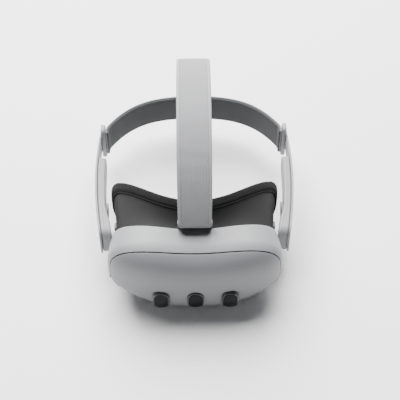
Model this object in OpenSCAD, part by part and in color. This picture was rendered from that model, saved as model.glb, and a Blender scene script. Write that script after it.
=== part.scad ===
// Standalone headset: a goggle-shaped visor on a soft head strap.
// +X is across the width, -Y the way the visor faces, +Z up.
// Depths are counted back from the foremost point; place() moves them to the row frame,
// whose origin is in the middle of the flat underside.

/* [Visor] */
// Half of the visor's width at its widest line
visor_half_w = 78.5; // [77.5:0.5:79]
// Height of the visor's foremost point above the underside
visor_mid_z = 42; // [41:0.5:43]
// Rise of the top edge above the foremost point, away from the middle
visor_rise = 46.3; // [45.5:0.1:47]
// How much lower the top edge is in the middle
visor_dip = 5; // [4:0.5:5.5]
// Drop of the bottom curve below the foremost point, before it is cut flat
visor_drop = 50; // [49:0.5:51]
// How much shallower the bottom curve is at the two sides
visor_lift = 18; // [16:0.5:18.5]
// Depth of the visor's widest line
widest_depth = 26; // [25:0.5:26.5]
// Depth of the rear rim in the middle
rim_depth = 39; // [38.5:0.5:39.5]
// How much further back the rim is at the two sides
rim_wrap = 10; // [9:0.5:10]
// Wall thickness of the cover and the shell
wall = 2.2; // [1.8:0.1:2.4]
// Gap between the front cover and the shell
seam_gap = 0.35; // [0.2:0.05:0.6]
// Half of the front cover's width
cover_half_w = 76.3; // [75.5:0.1:76.5]
// Height of the front cover's top edge, away from the middle
cover_top_z = 84.6; // [83.5:0.1:85]
// Height of the front cover's bottom edge
cover_bottom_z = 2; // [1.5:0.5:4]

/* [Sensors] */
// Distance between neighbouring sensor windows
window_pitch = 31; // [30:0.5:33]
// Width of a sensor window's glass
window_w = 12.4; // [11.5:0.1:13]
// Height of a window's top end
window_top_z = 40.5; // [39.5:0.5:41.5]
// Height of a window's bottom end
window_bottom_z = 17.5; // [16.5:0.5:18]
// Radius of a window's upright curve
window_curve_r = 66; // [60:1:80]

/* [Optics] */
// Distance between the lens centres at rest
lens_spacing = 64; // [63.5:0.1:64.5]
// Travel of each lens to either side of rest
lens_travel = 3; // [2:0.5:3]
// Height of the lens centres
lens_z = 46; // [45:0.5:46.5]
// Outer radius of a lens barrel
barrel_r = 24; // [23:0.1:24]

/* [Face interface] */
// Half of the face cushion's width
face_half_w = 78.8; // [78:0.1:79]
// Height of the cushion's forehead edge
face_top_z = 94; // [92:0.5:94.5]
// Thickness of the cushion from front to back
cushion_depth = 13; // [11:0.5:14]
// Thickness of the cushion from its outer edge to its inner edge
cushion_w = 13; // [11:0.5:14]
// Depth of the cushion's rear face at the forehead
forehead_depth = 70; // [69:0.5:71]
// How much further back the temples sit than the forehead
face_wrap = 40; // [36:0.5:41]

/* [Head strap] */
// Radius of each side arm's curve, seen from above
arm_curve_r = 522; // [500:1:560]
// Half of the width across the arms at their widest
arm_half_w = 94.2; // [94:0.1:95]
// Depth at which the arms are widest
arm_widest = 140; // [136:1:144]
// Thickness of the rigid part of an arm
arm_core_t = 7.2; // [6.8:0.1:7.6]
// Thickness of the band along the outside of an arm
arm_skin_t = 2; // [1.6:0.1:2.2]
// Radius of the pivot pin of an arm
pivot_r = 6; // [5:0.1:6.5]
// Width of the overhead strap
strap_w = 30.5; // [28:0.5:31]
// Thickness of the overhead strap
strap_t = 2.6; // [2:0.1:2.8]
// Height of the rear band
band_h = 32; // [30:0.5:34]
// Thickness of the rear band
band_t = 3; // [2.5:0.1:3]
// Depth of the middle of the rear band
band_depth = 226; // [225:0.5:227]

/* [Sockets] */
// Radius of the audio socket's bore
jack_r = 1.8; // [1.75:0.01:1.85]
// Depth of the audio socket's bore
jack_depth = 14; // [13:0.5:14]

/* [Hidden] */
$fn = 64;

// Colours
shell_grey = [0.80, 0.80, 0.82];
cover_grey = [0.62, 0.63, 0.65];
arm_grey = [0.78, 0.78, 0.80];
strap_grey = [0.70, 0.70, 0.72];
band_grey = [0.34, 0.34, 0.36];
soft_black = [0.17, 0.17, 0.17];
glass_black = [0.06, 0.06, 0.07];

// Depth of the row's origin, in the middle of the flat underside
rest_depth = 27;
// Small overlap that lets a cut pass cleanly through a face
cut = 1;

// Exponents of the visor's upper and lower outline, across and upright, and of its depth
upper_e = [3.1, 3.8];
lower_e = [2.6, 2.2];
dome_ed = 0.6;
// Width of the dip in the top edge, and its amount in the seam
dip_w = 32;
seam_dip = 4.2;
// How much the rear rim is drawn in, as a share of its width
rim_tuck = 0.045;
// Thickness of the walls that face forward, counted in depth
front_wall = 2.6;
// Exponents of the seam's outline and the face's outline
seam_upper_e = 3.6;
seam_lower_e = 3;
face_e = 2.8;
// Points around each faceted ring
ring_n = 72;

// Internal layout, as depths
window_front = -2.2;
window_mid_z = 35;
window_t = 1.6;
bezel_t = 0.95;
bezel_step = 0.4;
bezel_back = 10;
camera_back = 9.5;
battery_front = 8.5;
battery_t = 6.5;
board_front = 16;
board_t = 1.2;
chassis_front = 18;
chassis_t = 2;
barrel_front = 21.5;
barrel_back = 38;
barrel_wall = 2.6;
panel_t = 1.5;
panel_back = 36;
panel_front = panel_back - panel_t;
rod_z = 72;
rod_r = 1.5;
rod_half = 54;
screw_z = 11;
screw_r = 2;
screw_half = 47;
drive_depth = 28;
wheel_x = -14;
wheel_w = 6;
wheel_r = 10;
running_gap = 0.06;
frame_front = 36.4;
frame_half_w = 71.4;
frame_half_h = 32.6;
frame_wall = 2;
rail_x = 62;
rail_z = [27, 68];
rail_r = 2.5;
side_depth = 30;
side_camera_at = [71.3, 31, 24];
side_camera_tilt = 126;
rocker_at = [72.4, 36];
rocker_pin_r = 0.4;
pivot_depth = 57;
pivot_z = 45;
temple_x = 72.7;
temple_t = 2.3;
strap_centre = [128.1, 68.1];
strap_r = 96.6;
anchor_at = [38, 94.2];
anchor_r = 1.3;
fold_r = 4.1;
slider_half = 16.4;
anchor_half = 15.2;
buckle_at = [182, 39.5];
buckle_h = 40;
band_mid_z = 39.5;
release_at = [70, 45];
release_x = 74.2;
contact_x = 20;
contact_pitch = 5;
fan_at = [44, 44];
fan_r = 13.5;
speaker_at = [88, 44];
speaker_r = 9.4;

function spow(v, e) = sign(v) * pow(abs(v), e);
function mix(a, b, t) = a + (b - a) * t;

// Dip of a top edge at a distance from the middle
function dip_at(x, amount) = amount * exp(-pow(x / dip_w, 2));
// Vertical half-size of the visor above or below its foremost point, at a distance from the middle
function dome_h(x, up) =
    up ? visor_rise - dip_at(x, visor_dip) : visor_drop - visor_lift * pow(x / visor_half_w, 2);
// Fill of the dome at a point: 0 in the middle, 1 on the widest line
function dome_fill(x, z) =
    let (e = z >= visor_mid_z ? upper_e : lower_e)
    pow(abs(x) / visor_half_w, e[0]) + pow(abs(z - visor_mid_z) / dome_h(x, z >= visor_mid_z), e[1]);
// Depth of the dome's outer surface at a point
function dome_depth(x, z) = widest_depth * (1 - pow(max(0, 1 - dome_fill(x, z)), dome_ed));
// Outline of the widest line, drawn in by an inset
function dome_outline(a, inset) =
    let (e = sin(a) >= 0 ? upper_e : lower_e, x = visor_half_w * spow(cos(a), 2 / e[0]),
         shrink = 1 - inset / visor_half_w)
    [x * shrink, visor_mid_z + (dome_h(x, sin(a) >= 0) - inset) * spow(sin(a), 2 / e[1])];
seam_mid_z = (cover_top_z + cover_bottom_z) / 2;
function seam_outline(a, grow) =
    let (e = sin(a) >= 0 ? seam_upper_e : seam_lower_e, x = (cover_half_w + grow) * spow(cos(a), 2 / e),
         rise = cover_top_z - seam_mid_z + grow - (sin(a) >= 0 ? dip_at(x, seam_dip) : 0))
    [x, seam_mid_z + rise * spow(sin(a), 2 / e)];
// Depth of the rear rim at a distance from the middle
function rim_at(x) = rim_depth + rim_wrap * pow(x / visor_half_w, 2);
function ring_angle(i) = 360 * (i + 0.5) / ring_n;

// Outline of the face interface, with the arch for the nose at its lower middle
face_mid_z = 46.5;
face_drop = 49.5;
nose_rise = 30;
nose_w = 17;
function nose_lift(x, a, amount) =
    sin(a) < 0 ? amount * exp(-pow(x / nose_w, 2)) * pow(-sin(a), 2) : 0;
function face_outline(a, inset) =
    let (x = (face_half_w - inset) * spow(cos(a), 2 / face_e),
         rise = (sin(a) >= 0 ? face_top_z - face_mid_z : face_drop) - inset)
    [x, max(0, face_mid_z + rise * spow(sin(a), 2 / face_e) + nose_lift(x, a, nose_rise))];
// Depth of the cushion's rear face at a distance from the middle
function face_depth(x) = forehead_depth + face_wrap * (1 - cos(180 * abs(x) / 150));

// Depth lost by the rear band towards its ends
function band_sag(x) = 0.002185 * pow(x, 2) + 4.76e-7 * pow(x, 4);

module place(c) color(c) translate([0, -rest_depth, 0]) children();
module on_side(s) mirror([s < 0 ? 1 : 0, 0, 0]) children();

// Prism along the depth: a flat shape in X and Z, from one depth to another
module prism(from, to) translate([0, to, 0]) rotate([90, 0, 0]) linear_extrude(to - from) children();
// Round bar or hole along the depth
module along_depth(x, z, from, to, r)
    translate([x, from, z]) rotate([-90, 0, 0]) cylinder(h = to - from, r = r);
// Round bar or hole across the width
module along_width(depth, z, from, to, r)
    translate([from, depth, z]) rotate([0, 90, 0]) cylinder(h = to - from, r = r);
// Flat shape in depth and height, given a thickness across the width
module slab(from, to) translate([from, 0, 0]) rotate([90, 0, 90]) linear_extrude(to - from) children();
module block(x, depth, z)
    translate([x[0], depth[0], z[0]]) cube([x[1] - x[0], depth[1] - depth[0], z[1] - z[0]]);
module rounded(w, h, r) hull()
    for (i = [-1, 1], j = [-1, 1]) translate([i * (w / 2 - r), j * (h / 2 - r)]) circle(r = r);
module pill(x, z0, z1, w) hull() for (z = [z0 + w / 2, z1 - w / 2]) translate([x, z]) circle(d = w, $fn = 32);

// Closed ring of rings: each entry of rings is one loop of ring_n points
module ring_solid(rings) {
    m = len(rings);
    pts = [for (r = rings) for (p = r) p];
    faces = [for (j = [0:m - 1], i = [0:ring_n - 1])
        let (a = j * ring_n + i, b = j * ring_n + (i + 1) % ring_n,
             c = ((j + 1) % m) * ring_n + (i + 1) % ring_n, d = ((j + 1) % m) * ring_n + i)
        each [[a, b, c], [a, c, d]]];
    polyhedron(points = pts, faces = faces, convexity = 6);
}

// Closed cap: the first and last entries of rings close on a single point each
module cap_solid(rings, first, last) {
    m = len(rings);
    n = m * ring_n;
    pts = concat([for (r = rings) for (p = r) p], [first, last]);
    side = [for (j = [0:m - 2], i = [0:ring_n - 1])
        let (a = j * ring_n + i, b = j * ring_n + (i + 1) % ring_n,
             c = (j + 1) * ring_n + (i + 1) % ring_n, d = (j + 1) * ring_n + i)
        each [[a, b, c], [a, c, d]]];
    ends = [for (i = [0:ring_n - 1])
        each [[n, (i + 1) % ring_n, i],
              [n + 1, (m - 1) * ring_n + i, (m - 1) * ring_n + (i + 1) % ring_n]]];
    polyhedron(points = pts, faces = concat(side, ends), convexity = 6);
}

// One ring of the front cover, shrunk towards the middle of the seam's outline
function cover_ring(s, back) = [for (i = [0:ring_n - 1])
    let (p = seam_outline(ring_angle(i), 0), x = p[0] * s, z = mix(seam_mid_z, p[1], s))
    [x, dome_depth(x, z) + back, z]];

module front_cover() place(cover_grey) difference() {
    cover_steps = [0.2, 0.45, 0.65, 0.8, 0.9, 0.96, 1];
    inner_steps = [1, 0.9, 0.75, 0.5, 0.25];
    middle = dome_depth(0, seam_mid_z);
    cap_solid(
        concat([for (s = cover_steps) cover_ring(s, 0)], [for (s = inner_steps) cover_ring(s, front_wall)]),
        [0, middle, seam_mid_z], [0, middle + front_wall, seam_mid_z]);
    for (k = [-1:1]) prism(-cut, bezel_back + 6)
        pill(k * window_pitch, window_bottom_z - bezel_t - 0.1, window_top_z + bezel_t + 0.1,
            window_w + 2 * bezel_t + 0.2);
}

// One ring of the shell between the seam and the widest line; inward is 0 outside and 1 inside
function shell_ring(t, inward) = [for (i = [0:ring_n - 1])
    let (a = ring_angle(i), p = seam_outline(a, seam_gap), q = dome_outline(a, 0), r = dome_outline(a, wall),
         x = mix(p[0], q[0], t), z = mix(p[1], q[1], t),
         depth = dome_depth(x, z) + inward * front_wall * (1 - t))
    inward == 0 ? [x, depth, max(z, 0)] : [mix(p[0], r[0], t), depth, max(mix(p[1], r[1], t), wall)]];
// One ring of the shell between the widest line and the rear rim
function rim_ring(t, inset) = [for (i = [0:ring_n - 1])
    let (q = dome_outline(ring_angle(i), inset), shrink = rim_tuck * t * t)
    [q[0] * (1 - shrink), mix(widest_depth, rim_at(q[0]), t),
        max(mix(q[1], visor_mid_z, shrink / 5), inset)]];

module main_shell() place(shell_grey) difference() {
    ring_solid(concat([for (t = [0, 0.3, 0.6, 0.85, 0.96, 1]) shell_ring(t, 0)],
        [for (t = [0.5, 1]) rim_ring(t, 0)], [for (t = [1, 0.5]) rim_ring(t, wall)],
        [for (t = [1, 0.9, 0.5, 0]) shell_ring(t, 1)]));
    // Slot for the spacing wheel, seats for the contacts, and the openings in the two sides
    block([wheel_x - wheel_w / 2 - 0.6, wheel_x + wheel_w / 2 + 0.6], [drive_depth - 6.4, drive_depth + 6.4],
        [-cut, wall + cut]);
    for (k = [0:2]) translate([contact_x + contact_pitch * k, side_depth, -cut])
        cylinder(h = wall + 2 * cut, r = 1.6);
    along_width(side_depth, 36, -visor_half_w - cut, -70, 3.2);
    along_width(side_depth, 36, 70, visor_half_w + cut, 3.4);
    block([-visor_half_w - cut, -70], [side_depth - 1.9, side_depth + 1.9], [47.2, 56.8]);
    along_width(side_depth, 52, 70, visor_half_w + cut, 3.3);
    along_width(side_depth, 43, -visor_half_w - cut, -70, 0.9);
    side_camera_axis() translate([0, 0, -8]) cylinder(h = 14, r = 3.3);
}

// Places its children on the outward and downward axis of both side cameras
module side_camera_axis() for (s = [-1, 1]) on_side(s)
    translate(side_camera_at) rotate([0, side_camera_tilt, 0]) children();

// Round bar across the width whose front follows the windows' upright curve, set back by a step
module window_curve(step)
    along_width(window_front + window_curve_r, window_mid_z, -visor_half_w, visor_half_w,
    window_curve_r - step);

module sensor_bezels() place([0.35, 0.35, 0.37]) intersection() {
    for (k = [-1:1]) difference() {
        prism(window_front - cut, bezel_back)
            pill(k * window_pitch, window_bottom_z - bezel_t, window_top_z + bezel_t, window_w + 2 * bezel_t);
        prism(window_front - 2 * cut, bezel_back + cut)
            pill(k * window_pitch, window_bottom_z - 0.05, window_top_z + 0.05, window_w + 0.1);
    }
    window_curve(bezel_step);
}

module sensor_window(k) place(glass_black) intersection() {
    prism(window_front - cut, bezel_back) pill(k * window_pitch, window_bottom_z, window_top_z, window_w);
    difference() {
        window_curve(0);
        window_curve(window_t);
    }
}
module left_sensor_window() sensor_window(-1);
module centre_sensor_window() sensor_window(0);
module right_sensor_window() sensor_window(1);

module camera(x, z, r) {
    along_depth(x, z, 1.6, 6, r * 0.7);
    block([x - r, x + r], [6 - 0.01, camera_back], [z - r, z + r]);
}
module tracking_cameras() place([0.12, 0.12, 0.13])
    for (s = [-1, 1], z = [24, 34]) camera(s * window_pitch, z, 4.3);
module depth_projector() place([0.15, 0.14, 0.16]) camera(0, 29, 5);
module side_cameras() place([0.10, 0.10, 0.11]) side_camera_axis() {
    translate([0, 0, -4.2]) cylinder(h = 3.9, r = 3.2);
    translate([0, 0, -5.4]) cylinder(h = 1.21, r = 2.4);
}

module battery_pack() place([0.22, 0.25, 0.30])
    prism(battery_front, battery_front + battery_t) translate([0, 56.5]) rounded(56, 26, 4);

// Room for the spacing wheel in a plate between two depths
module wheel_slot(from, to) block([wheel_x - wheel_w / 2 - 0.6, wheel_x + wheel_w / 2 + 0.6], [from, to],
    [-cut, screw_z + wheel_r + 0.8]);

screw_spots = [[-44, 20], [44, 20], [-44, 64], [44, 64]];
module main_board() place([0.10, 0.32, 0.22]) difference() {
    prism(board_front, board_front + board_t) translate([0, 42]) rounded(96, 52, 5);
    for (p = screw_spots) along_depth(p[0], p[1], board_front - cut, board_front + board_t + cut, 1.3);
}

module heat_sink() place([0.72, 0.73, 0.75]) {
    block([-56, -32], [14.3, board_front], [32, 56]);
    for (k = [0:7]) block([-56 + 3.2 * k, -54.4 + 3.2 * k], [10.8, 14.3 + 0.01], [32, 56]);
}

module chassis_frame() place([0.55, 0.56, 0.58]) difference() {
    union() {
        prism(chassis_front, chassis_front + chassis_t) translate([0, 43]) rounded(110, 66, 12);
        // Ears that carry the guide rod and the spacing screw
        for (s = [-1, 1]) on_side(s) {
            block([51, 54], [chassis_front + chassis_t - 0.01, 31], [69, 75]);
            block([44, 47], [chassis_front + chassis_t - 0.01, 31.5], [8.2, 20]);
            along_depth(54, 22, chassis_front + chassis_t - 0.01, panel_front, 2.4);
            along_depth(44, 20, board_front + board_t, chassis_front + 0.01, 2.4);
            along_depth(44, 64, board_front + board_t, chassis_front + 0.01, 2.4);
        }
        for (z = [27, 65]) along_depth(0, z, chassis_front + chassis_t - 0.01, panel_front, 2.4);
    }
    for (s = [-1, 1]) on_side(s) {
        along_width(drive_depth, rod_z, 51 - cut, 54 + cut, rod_r + 0.02);
        along_width(drive_depth, screw_z, 44 - cut, 47 + cut, screw_r + running_gap);
    }
    for (p = screw_spots) along_depth(p[0], p[1], board_front, chassis_front + chassis_t + cut, 1.05);
    for (s = [-1, 1]) along_depth(s * 32, 44, chassis_front - cut, chassis_front + chassis_t + cut, 9);
    wheel_slot(chassis_front - cut, chassis_front + chassis_t + cut);
}

module chassis_screws() place([0.45, 0.45, 0.47]) for (p = screw_spots) difference() {
    union() {
        along_depth(p[0], p[1], board_front - 1.2, board_front, 2.2);
        along_depth(p[0], p[1], board_front - 0.01, chassis_front + chassis_t, 1);
    }
    along_depth(p[0], p[1], board_front - 1.2 - cut, board_front - 0.5, 0.9);
}

module fan_housing() place([0.14, 0.14, 0.15]) {
    difference() {
        along_depth(fan_at[0], fan_at[1], 10.6, 15.8, fan_r);
        along_depth(fan_at[0], fan_at[1], 10.6 - cut, 14.9, fan_r - 1);
        along_depth(fan_at[0], fan_at[1], 14, 15.8 + cut, 1.5);
    }
    difference() {
        along_depth(fan_at[0], fan_at[1], 14.2, 15.8, 2.6);
        along_depth(fan_at[0], fan_at[1], 14.2 - cut, 15.8 + cut, 1 + running_gap);
    }
}

module fan_rotor() place([0.20, 0.20, 0.22]) {
    along_depth(fan_at[0], fan_at[1], 10.9, 14, 4.5);
    along_depth(fan_at[0], fan_at[1], 14 - 0.01, 15.6, 1);
    for (k = [0:8]) translate([fan_at[0], 11.1, fan_at[1]]) rotate([0, 40 * k, 0])
        translate([3.9, 0, -0.4]) cube([7.8, 2.7, 0.8]);
}

module lens_slot(x) hull()
    for (d = [-lens_travel, lens_travel]) translate([x + d, lens_z]) circle(r = barrel_r + 0.5, $fn = 48);
module lens_panel() place([0.10, 0.10, 0.11]) difference() {
    prism(panel_front, panel_back)
        polygon([for (i = [0:ring_n - 1])
            let (p = dome_outline(ring_angle(i), wall + 0.7)) [p[0], max(p[1], wall + 0.3)]]);
    prism(panel_front - cut, panel_back + cut) for (s = [-1, 1]) lens_slot(s * lens_spacing / 2);
    for (s = [-1, 1], z = rail_z)
        along_depth(s * rail_x, z, panel_front - cut, panel_back + cut, rail_r + 0.1);
    wheel_slot(panel_front - cut, panel_back + cut);
}

module lens_guide_rod() place([0.75, 0.75, 0.77]) along_width(drive_depth, rod_z, -rod_half, rod_half, rod_r);

module spacing_screw() place([0.70, 0.70, 0.72])
    along_width(drive_depth, screw_z, -screw_half, screw_half, screw_r);

module spacing_wheel() place([0.18, 0.18, 0.19]) difference() {
    along_width(drive_depth, screw_z, wheel_x - wheel_w / 2, wheel_x + wheel_w / 2, wheel_r);
    along_width(drive_depth, screw_z, wheel_x - wheel_w, wheel_x + wheel_w, screw_r);
    for (k = [0:23]) translate([wheel_x - wheel_w, drive_depth, screw_z]) rotate([15 * k, 0, 0])
        translate([0, -0.5, wheel_r - 0.7]) cube([2 * wheel_w, 1, 2]);
}

module lens_barrel(s) place([0.13, 0.13, 0.14]) on_side(s) difference() {
    union() {
        along_depth(lens_spacing / 2, lens_z, barrel_front, barrel_back, barrel_r);
        block([lens_spacing / 2 - 5, lens_spacing / 2 + 5], [24.5, 31.5], [lens_z + 18, rod_z + 3.2]);
        block([lens_spacing / 2 - 5, lens_spacing / 2 + 5], [24.5, 31.5], [screw_z - 3.8, lens_z - 18]);
    }
    along_depth(lens_spacing / 2, lens_z, barrel_front + 1, barrel_back + cut, barrel_r - barrel_wall);
    along_width(drive_depth, rod_z, lens_spacing / 2 - 6, lens_spacing / 2 + 6, rod_r + running_gap);
    along_width(drive_depth, screw_z, lens_spacing / 2 - 6, lens_spacing / 2 + 6, screw_r + running_gap);
}
module left_lens_barrel() lens_barrel(-1);
module right_lens_barrel() lens_barrel(1);

// Thick lens with a domed eye side
module lens(s) place([0.25, 0.27, 0.35]) translate([s * lens_spacing / 2, 31.5, lens_z]) rotate([-90, 0, 0])
    rotate_extrude($fn = 96) polygon(concat([[0, 0], [barrel_r - barrel_wall - 0.1, 0]],
        [for (k = [0:8])
            let (r = (barrel_r - barrel_wall - 0.1) * (1 - k / 8)) [r, 5.4 - 2.4 * pow(r / 21.3, 2)]]));
module left_lens() lens(-1);
module right_lens() lens(1);

module display(s) place([0.05, 0.05, 0.07])
    along_depth(s * lens_spacing / 2, lens_z, barrel_front + 1.1, barrel_front + 2.6,
        barrel_r - barrel_wall - 0.2);
module left_display() display(-1);
module right_display() display(1);

module proximity_sensor() place(glass_black) prism(panel_back, panel_back + 1.2)
    translate([0, 58]) rounded(6, 4, 1.5);

module power_button() place(arm_grey) {
    along_width(side_depth, 36, -78.9, -73.4, 3);
    along_width(side_depth, 36, -73.42, -72.4, 4.2);
}

// Rocker that tips on two stub axles, behind a round opening in the shell
module volume_rocker() place(arm_grey) {
    along_width(side_depth, 36, 73.4, 78.9, 3);
    block([rocker_at[0] - 0.5, 73.42], [side_depth - 2.6, side_depth + 2.6], [32.6, 40.6]);
    along_depth(rocker_at[0], rocker_at[1], side_depth - 3.6, side_depth + 3.6, rocker_pin_r);
}

// Bracket with two ears that carry the rocker, fixed to the lens panel
module rocker_bracket() place([0.13, 0.13, 0.14]) difference() {
    union() {
        block([70.1, 70.91], [side_depth - 3.6, panel_front], [33, 39]);
        for (depth = [side_depth - 3.6, side_depth + 2.9])
            block([70.9, 73], [depth, depth + 0.7], [34.4, 37.6]);
    }
    along_depth(rocker_at[0], rocker_at[1], side_depth - 5, side_depth + 5, rocker_pin_r + 0.05);
}

module usb_inlet() place([0.55, 0.55, 0.57]) difference() {
    slab(-78, -69.8) translate([side_depth, 52]) rounded(3.6, 9.4, 1.7);
    slab(-78 - cut, -70.8) translate([side_depth, 52]) rounded(2.8, 8.6, 1.35);
}

module audio_socket() place([0.10, 0.10, 0.11]) difference() {
    along_width(side_depth, 52, 78 - jack_depth - 1, 78, 3.2);
    along_width(side_depth, 52, 78 - jack_depth, 78 + cut, jack_r);
}

module charging_contacts() place([0.80, 0.66, 0.35])
    for (k = [0:2]) translate([contact_x + contact_pitch * k, side_depth, 0]) cylinder(h = wall, r = 1.5);

module status_light() place([0.9, 0.9, 0.85]) along_width(side_depth, 43, -78.4, -75.6, 0.85);

module strap_anchor() place(shell_grey) {
    block([-anchor_half, anchor_half], [39.5, 41.3], [80.9, 89.8]);
    for (s = [-1, 1]) on_side(s) slab(anchor_half - 1.4, anchor_half)
        polygon([[39.5, 81], [41.3, 81], [41.3, 91], [40.4, 95.6], [36.5, 95.6], [35.8, 92.4], [39.5, 88.8]]);
    along_width(anchor_at[0], anchor_at[1], -anchor_half + 0.5, anchor_half - 0.5, anchor_r);
}

module temple(s) place([0.86, 0.86, 0.87]) on_side(s) {
    slab(temple_x, temple_x + temple_t) hull() {
        translate([50.7, 45.5]) square([3, 20], center = true);
        translate([pivot_depth, pivot_z]) circle(r = 7.8);
    }
    along_width(pivot_depth, pivot_z, temple_x + temple_t - 0.01, 75.7, pivot_r + 1.4);
    along_width(pivot_depth, pivot_z, temple_x, 83, pivot_r);
}
module left_temple() temple(-1);
module right_temple() temple(1);

// Flared wall between the visor and the cushion
function frame_point(a, t, inset) =
    let (x0 = (frame_half_w - inset) * spow(cos(a), 2 / face_e),
         z0 = face_mid_z + (frame_half_h - inset) * spow(sin(a), 2 / face_e) + nose_lift(x0, a, 10),
         q = face_outline(a, 3.5 + inset), back = face_depth(q[0]) - cushion_depth - 0.4,
         flare = pow(t, 2.2))
    [mix(x0, q[0], flare), mix(frame_front, back, t), max(inset + 1.2, mix(z0, q[1], flare))];
function frame_ring(t, inset) = [for (i = [0:ring_n - 1]) frame_point(ring_angle(i), t, inset)];

module interface_frame() place([0.13, 0.13, 0.13]) difference() {
    union() {
        steps = [0, 0.15, 0.4, 0.7, 1];
        ring_solid(concat([for (t = steps) frame_ring(t, 0)],
            [for (k = [4:-1:0]) frame_ring(steps[k], frame_wall)]));
        for (s = [-1, 1], z = rail_z) {
            along_depth(s * rail_x, z, 25, frame_front + 2, rail_r);
            block([s * rail_x - 2.7, s * rail_x + 2.7], [frame_front, frame_front + 2], [z - 2.7, z + 2.7]);
        }
    }
    for (s = [-1, 1]) on_side(s) slab(60, 80) translate(release_at) rounded(8.6, 8.6, 2);
}

module release_button(s) place([0.30, 0.30, 0.31]) on_side(s) {
    slab(69.2, release_x) translate(release_at) rounded(8, 8, 2);
    slab(68.2, 69.21) translate(release_at) rounded(11, 11, 2);
}
module left_release_button() release_button(-1);
module right_release_button() release_button(1);

cushion_n = 10;
function cushion_ring(k) = [for (i = [0:ring_n - 1])
    let (a = ring_angle(i), f = 360 * k / cushion_n,
         p = face_outline(a, cushion_w / 2 * (1 - spow(cos(f), 0.7))))
    [p[0], face_depth(p[0]) - cushion_depth / 2 * (1 - spow(sin(f), 0.7)), p[1]]];
module face_cushion() place(soft_black) ring_solid([for (k = [cushion_n - 1:-1:0]) cushion_ring(k)]);

// Layer of an arm between two distances in from its outer curve
module arm_layer(a, b, z) translate([arm_half_w - arm_curve_r, arm_widest, z[0]]) difference() {
    cylinder(h = z[1] - z[0], r = arm_curve_r - a, $fn = 360);
    translate([0, 0, -cut]) cylinder(h = z[1] - z[0] + 2 * cut, r = arm_curve_r - b, $fn = 360);
}

module arm(s) place(arm_grey) on_side(s) difference() {
    union() {
        intersection() {
            arm_layer(arm_skin_t, arm_skin_t + arm_core_t, [20, 70]);
            slab(70, 100) hull() {
                translate([58.5, 38]) circle(r = 8, $fn = 48);
                translate([58.5, 54]) circle(r = 8, $fn = 48);
                translate([140, 42.5]) circle(r = 13, $fn = 48);
            }
        }
        // Thicker front end, tapering back into the arm
        hull() {
            slab(76, 80) translate([58.7, 46]) rounded(14.6, 30, 7);
            slab(82.4, 83) translate([84, 44]) circle(r = 11, $fn = 48);
        }
    }
    along_width(pivot_depth, pivot_z, 70, 83.4, pivot_r + running_gap);
    along_width(speaker_at[0], speaker_at[1], 76, 88.2, speaker_r + 0.2);
}
module left_arm() arm(-1);
module right_arm() arm(1);

// Side view of an arm's outer band, grown by an amount
module band_side(grow) offset(r = grow) hull() {
    translate([58, 37]) circle(r = 8.5, $fn = 48);
    translate([58, 55]) circle(r = 8.5, $fn = 48);
    translate([140, 42.5]) circle(r = 14, $fn = 48);
    translate([181, 40.5]) circle(r = 9, $fn = 48);
}
module arm_band(s) place(arm_grey) on_side(s) intersection() {
    arm_layer(0, arm_skin_t - 0.02, [10, 75]);
    slab(80, 100) band_side(0);
}
module left_arm_band() arm_band(-1);
module right_arm_band() arm_band(1);

module speaker(s) place([0.12, 0.12, 0.13]) on_side(s) {
    along_width(speaker_at[0], speaker_at[1], 83.2, 88, speaker_r);
    along_width(speaker_at[0], speaker_at[1], 82.2, 83.21, speaker_r - 3);
}
module left_speaker() speaker(-1);
module right_speaker() speaker(1);

module speaker_grille(s) place([0.20, 0.20, 0.21]) on_side(s) difference() {
    along_width(speaker_at[0], speaker_at[1], 80.9, 81.9, speaker_r);
    for (k = [-2:2]) slab(80, 83) translate([speaker_at[0] + 2.8 * k, speaker_at[1]]) rounded(1.4, 11, 0.6);
}
module left_speaker_grille() speaker_grille(-1);
module right_speaker_grille() speaker_grille(1);

module buckle(s) place(arm_grey) on_side(s) difference() {
    slab(87.1, 91.2) translate(buckle_at) rounded(12, buckle_h, 4);
    slab(87.1 - cut, 91.2 + cut) translate(buckle_at)
        for (d = [-2.8, 2.8]) translate([d, 0]) rounded(2.4, buckle_h - 7, 1.1);
    // Seat for the end of the arm's band
    intersection() {
        arm_layer(-3, arm_skin_t + 0.1, [10, 75]);
        slab(80, 100) band_side(0.3);
    }
}
module left_buckle() buckle(-1);
module right_buckle() buckle(1);

// Half of the band's width, and the tab at its end that lies along the buckle
band_half = 85.4;
tab_end = 179;
module rear_band() place(band_grey) translate([0, 0, band_mid_z - band_h / 2]) linear_extrude(band_h)
    polygon(concat(
        [[-band_half - 1.5, tab_end], [-band_half - 1.5, band_depth - band_sag(band_half) + 3]],
        [for (k = [-20:20]) let (x = k * (band_half - 1) / 20) [x, band_depth - band_sag(x) + band_t / 2]],
        [[band_half + 1.5, band_depth - band_sag(band_half) + 3], [band_half + 1.5, tab_end]],
        [[band_half - 1.5, tab_end], [band_half - 1.5, band_depth - band_sag(band_half) - 2]],
        [for (k = [20:-1:-20]) let (x = k * (band_half - 4) / 20) [x, band_depth - band_sag(x) - band_t / 2]],
        [[-band_half + 1.5, band_depth - band_sag(band_half) - 2], [-band_half + 1.5, tab_end]]));

band_top = band_mid_z + band_h / 2;
module rear_slider() place(shell_grey) difference() {
    block([-slider_half, slider_half], [band_depth - 4, band_depth + 4], [band_top - 7, band_top + 9]);
    block([-slider_half - cut, slider_half + cut], [band_depth - 2.6, band_depth + 2.1],
        [band_top - 7 - cut, band_top + 0.2]);
    block([-strap_w / 2 - 0.3, strap_w / 2 + 0.3], [band_depth - 3, band_depth + 0.2],
        [band_top + 2, band_top + 9 + cut]);
}

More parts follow.
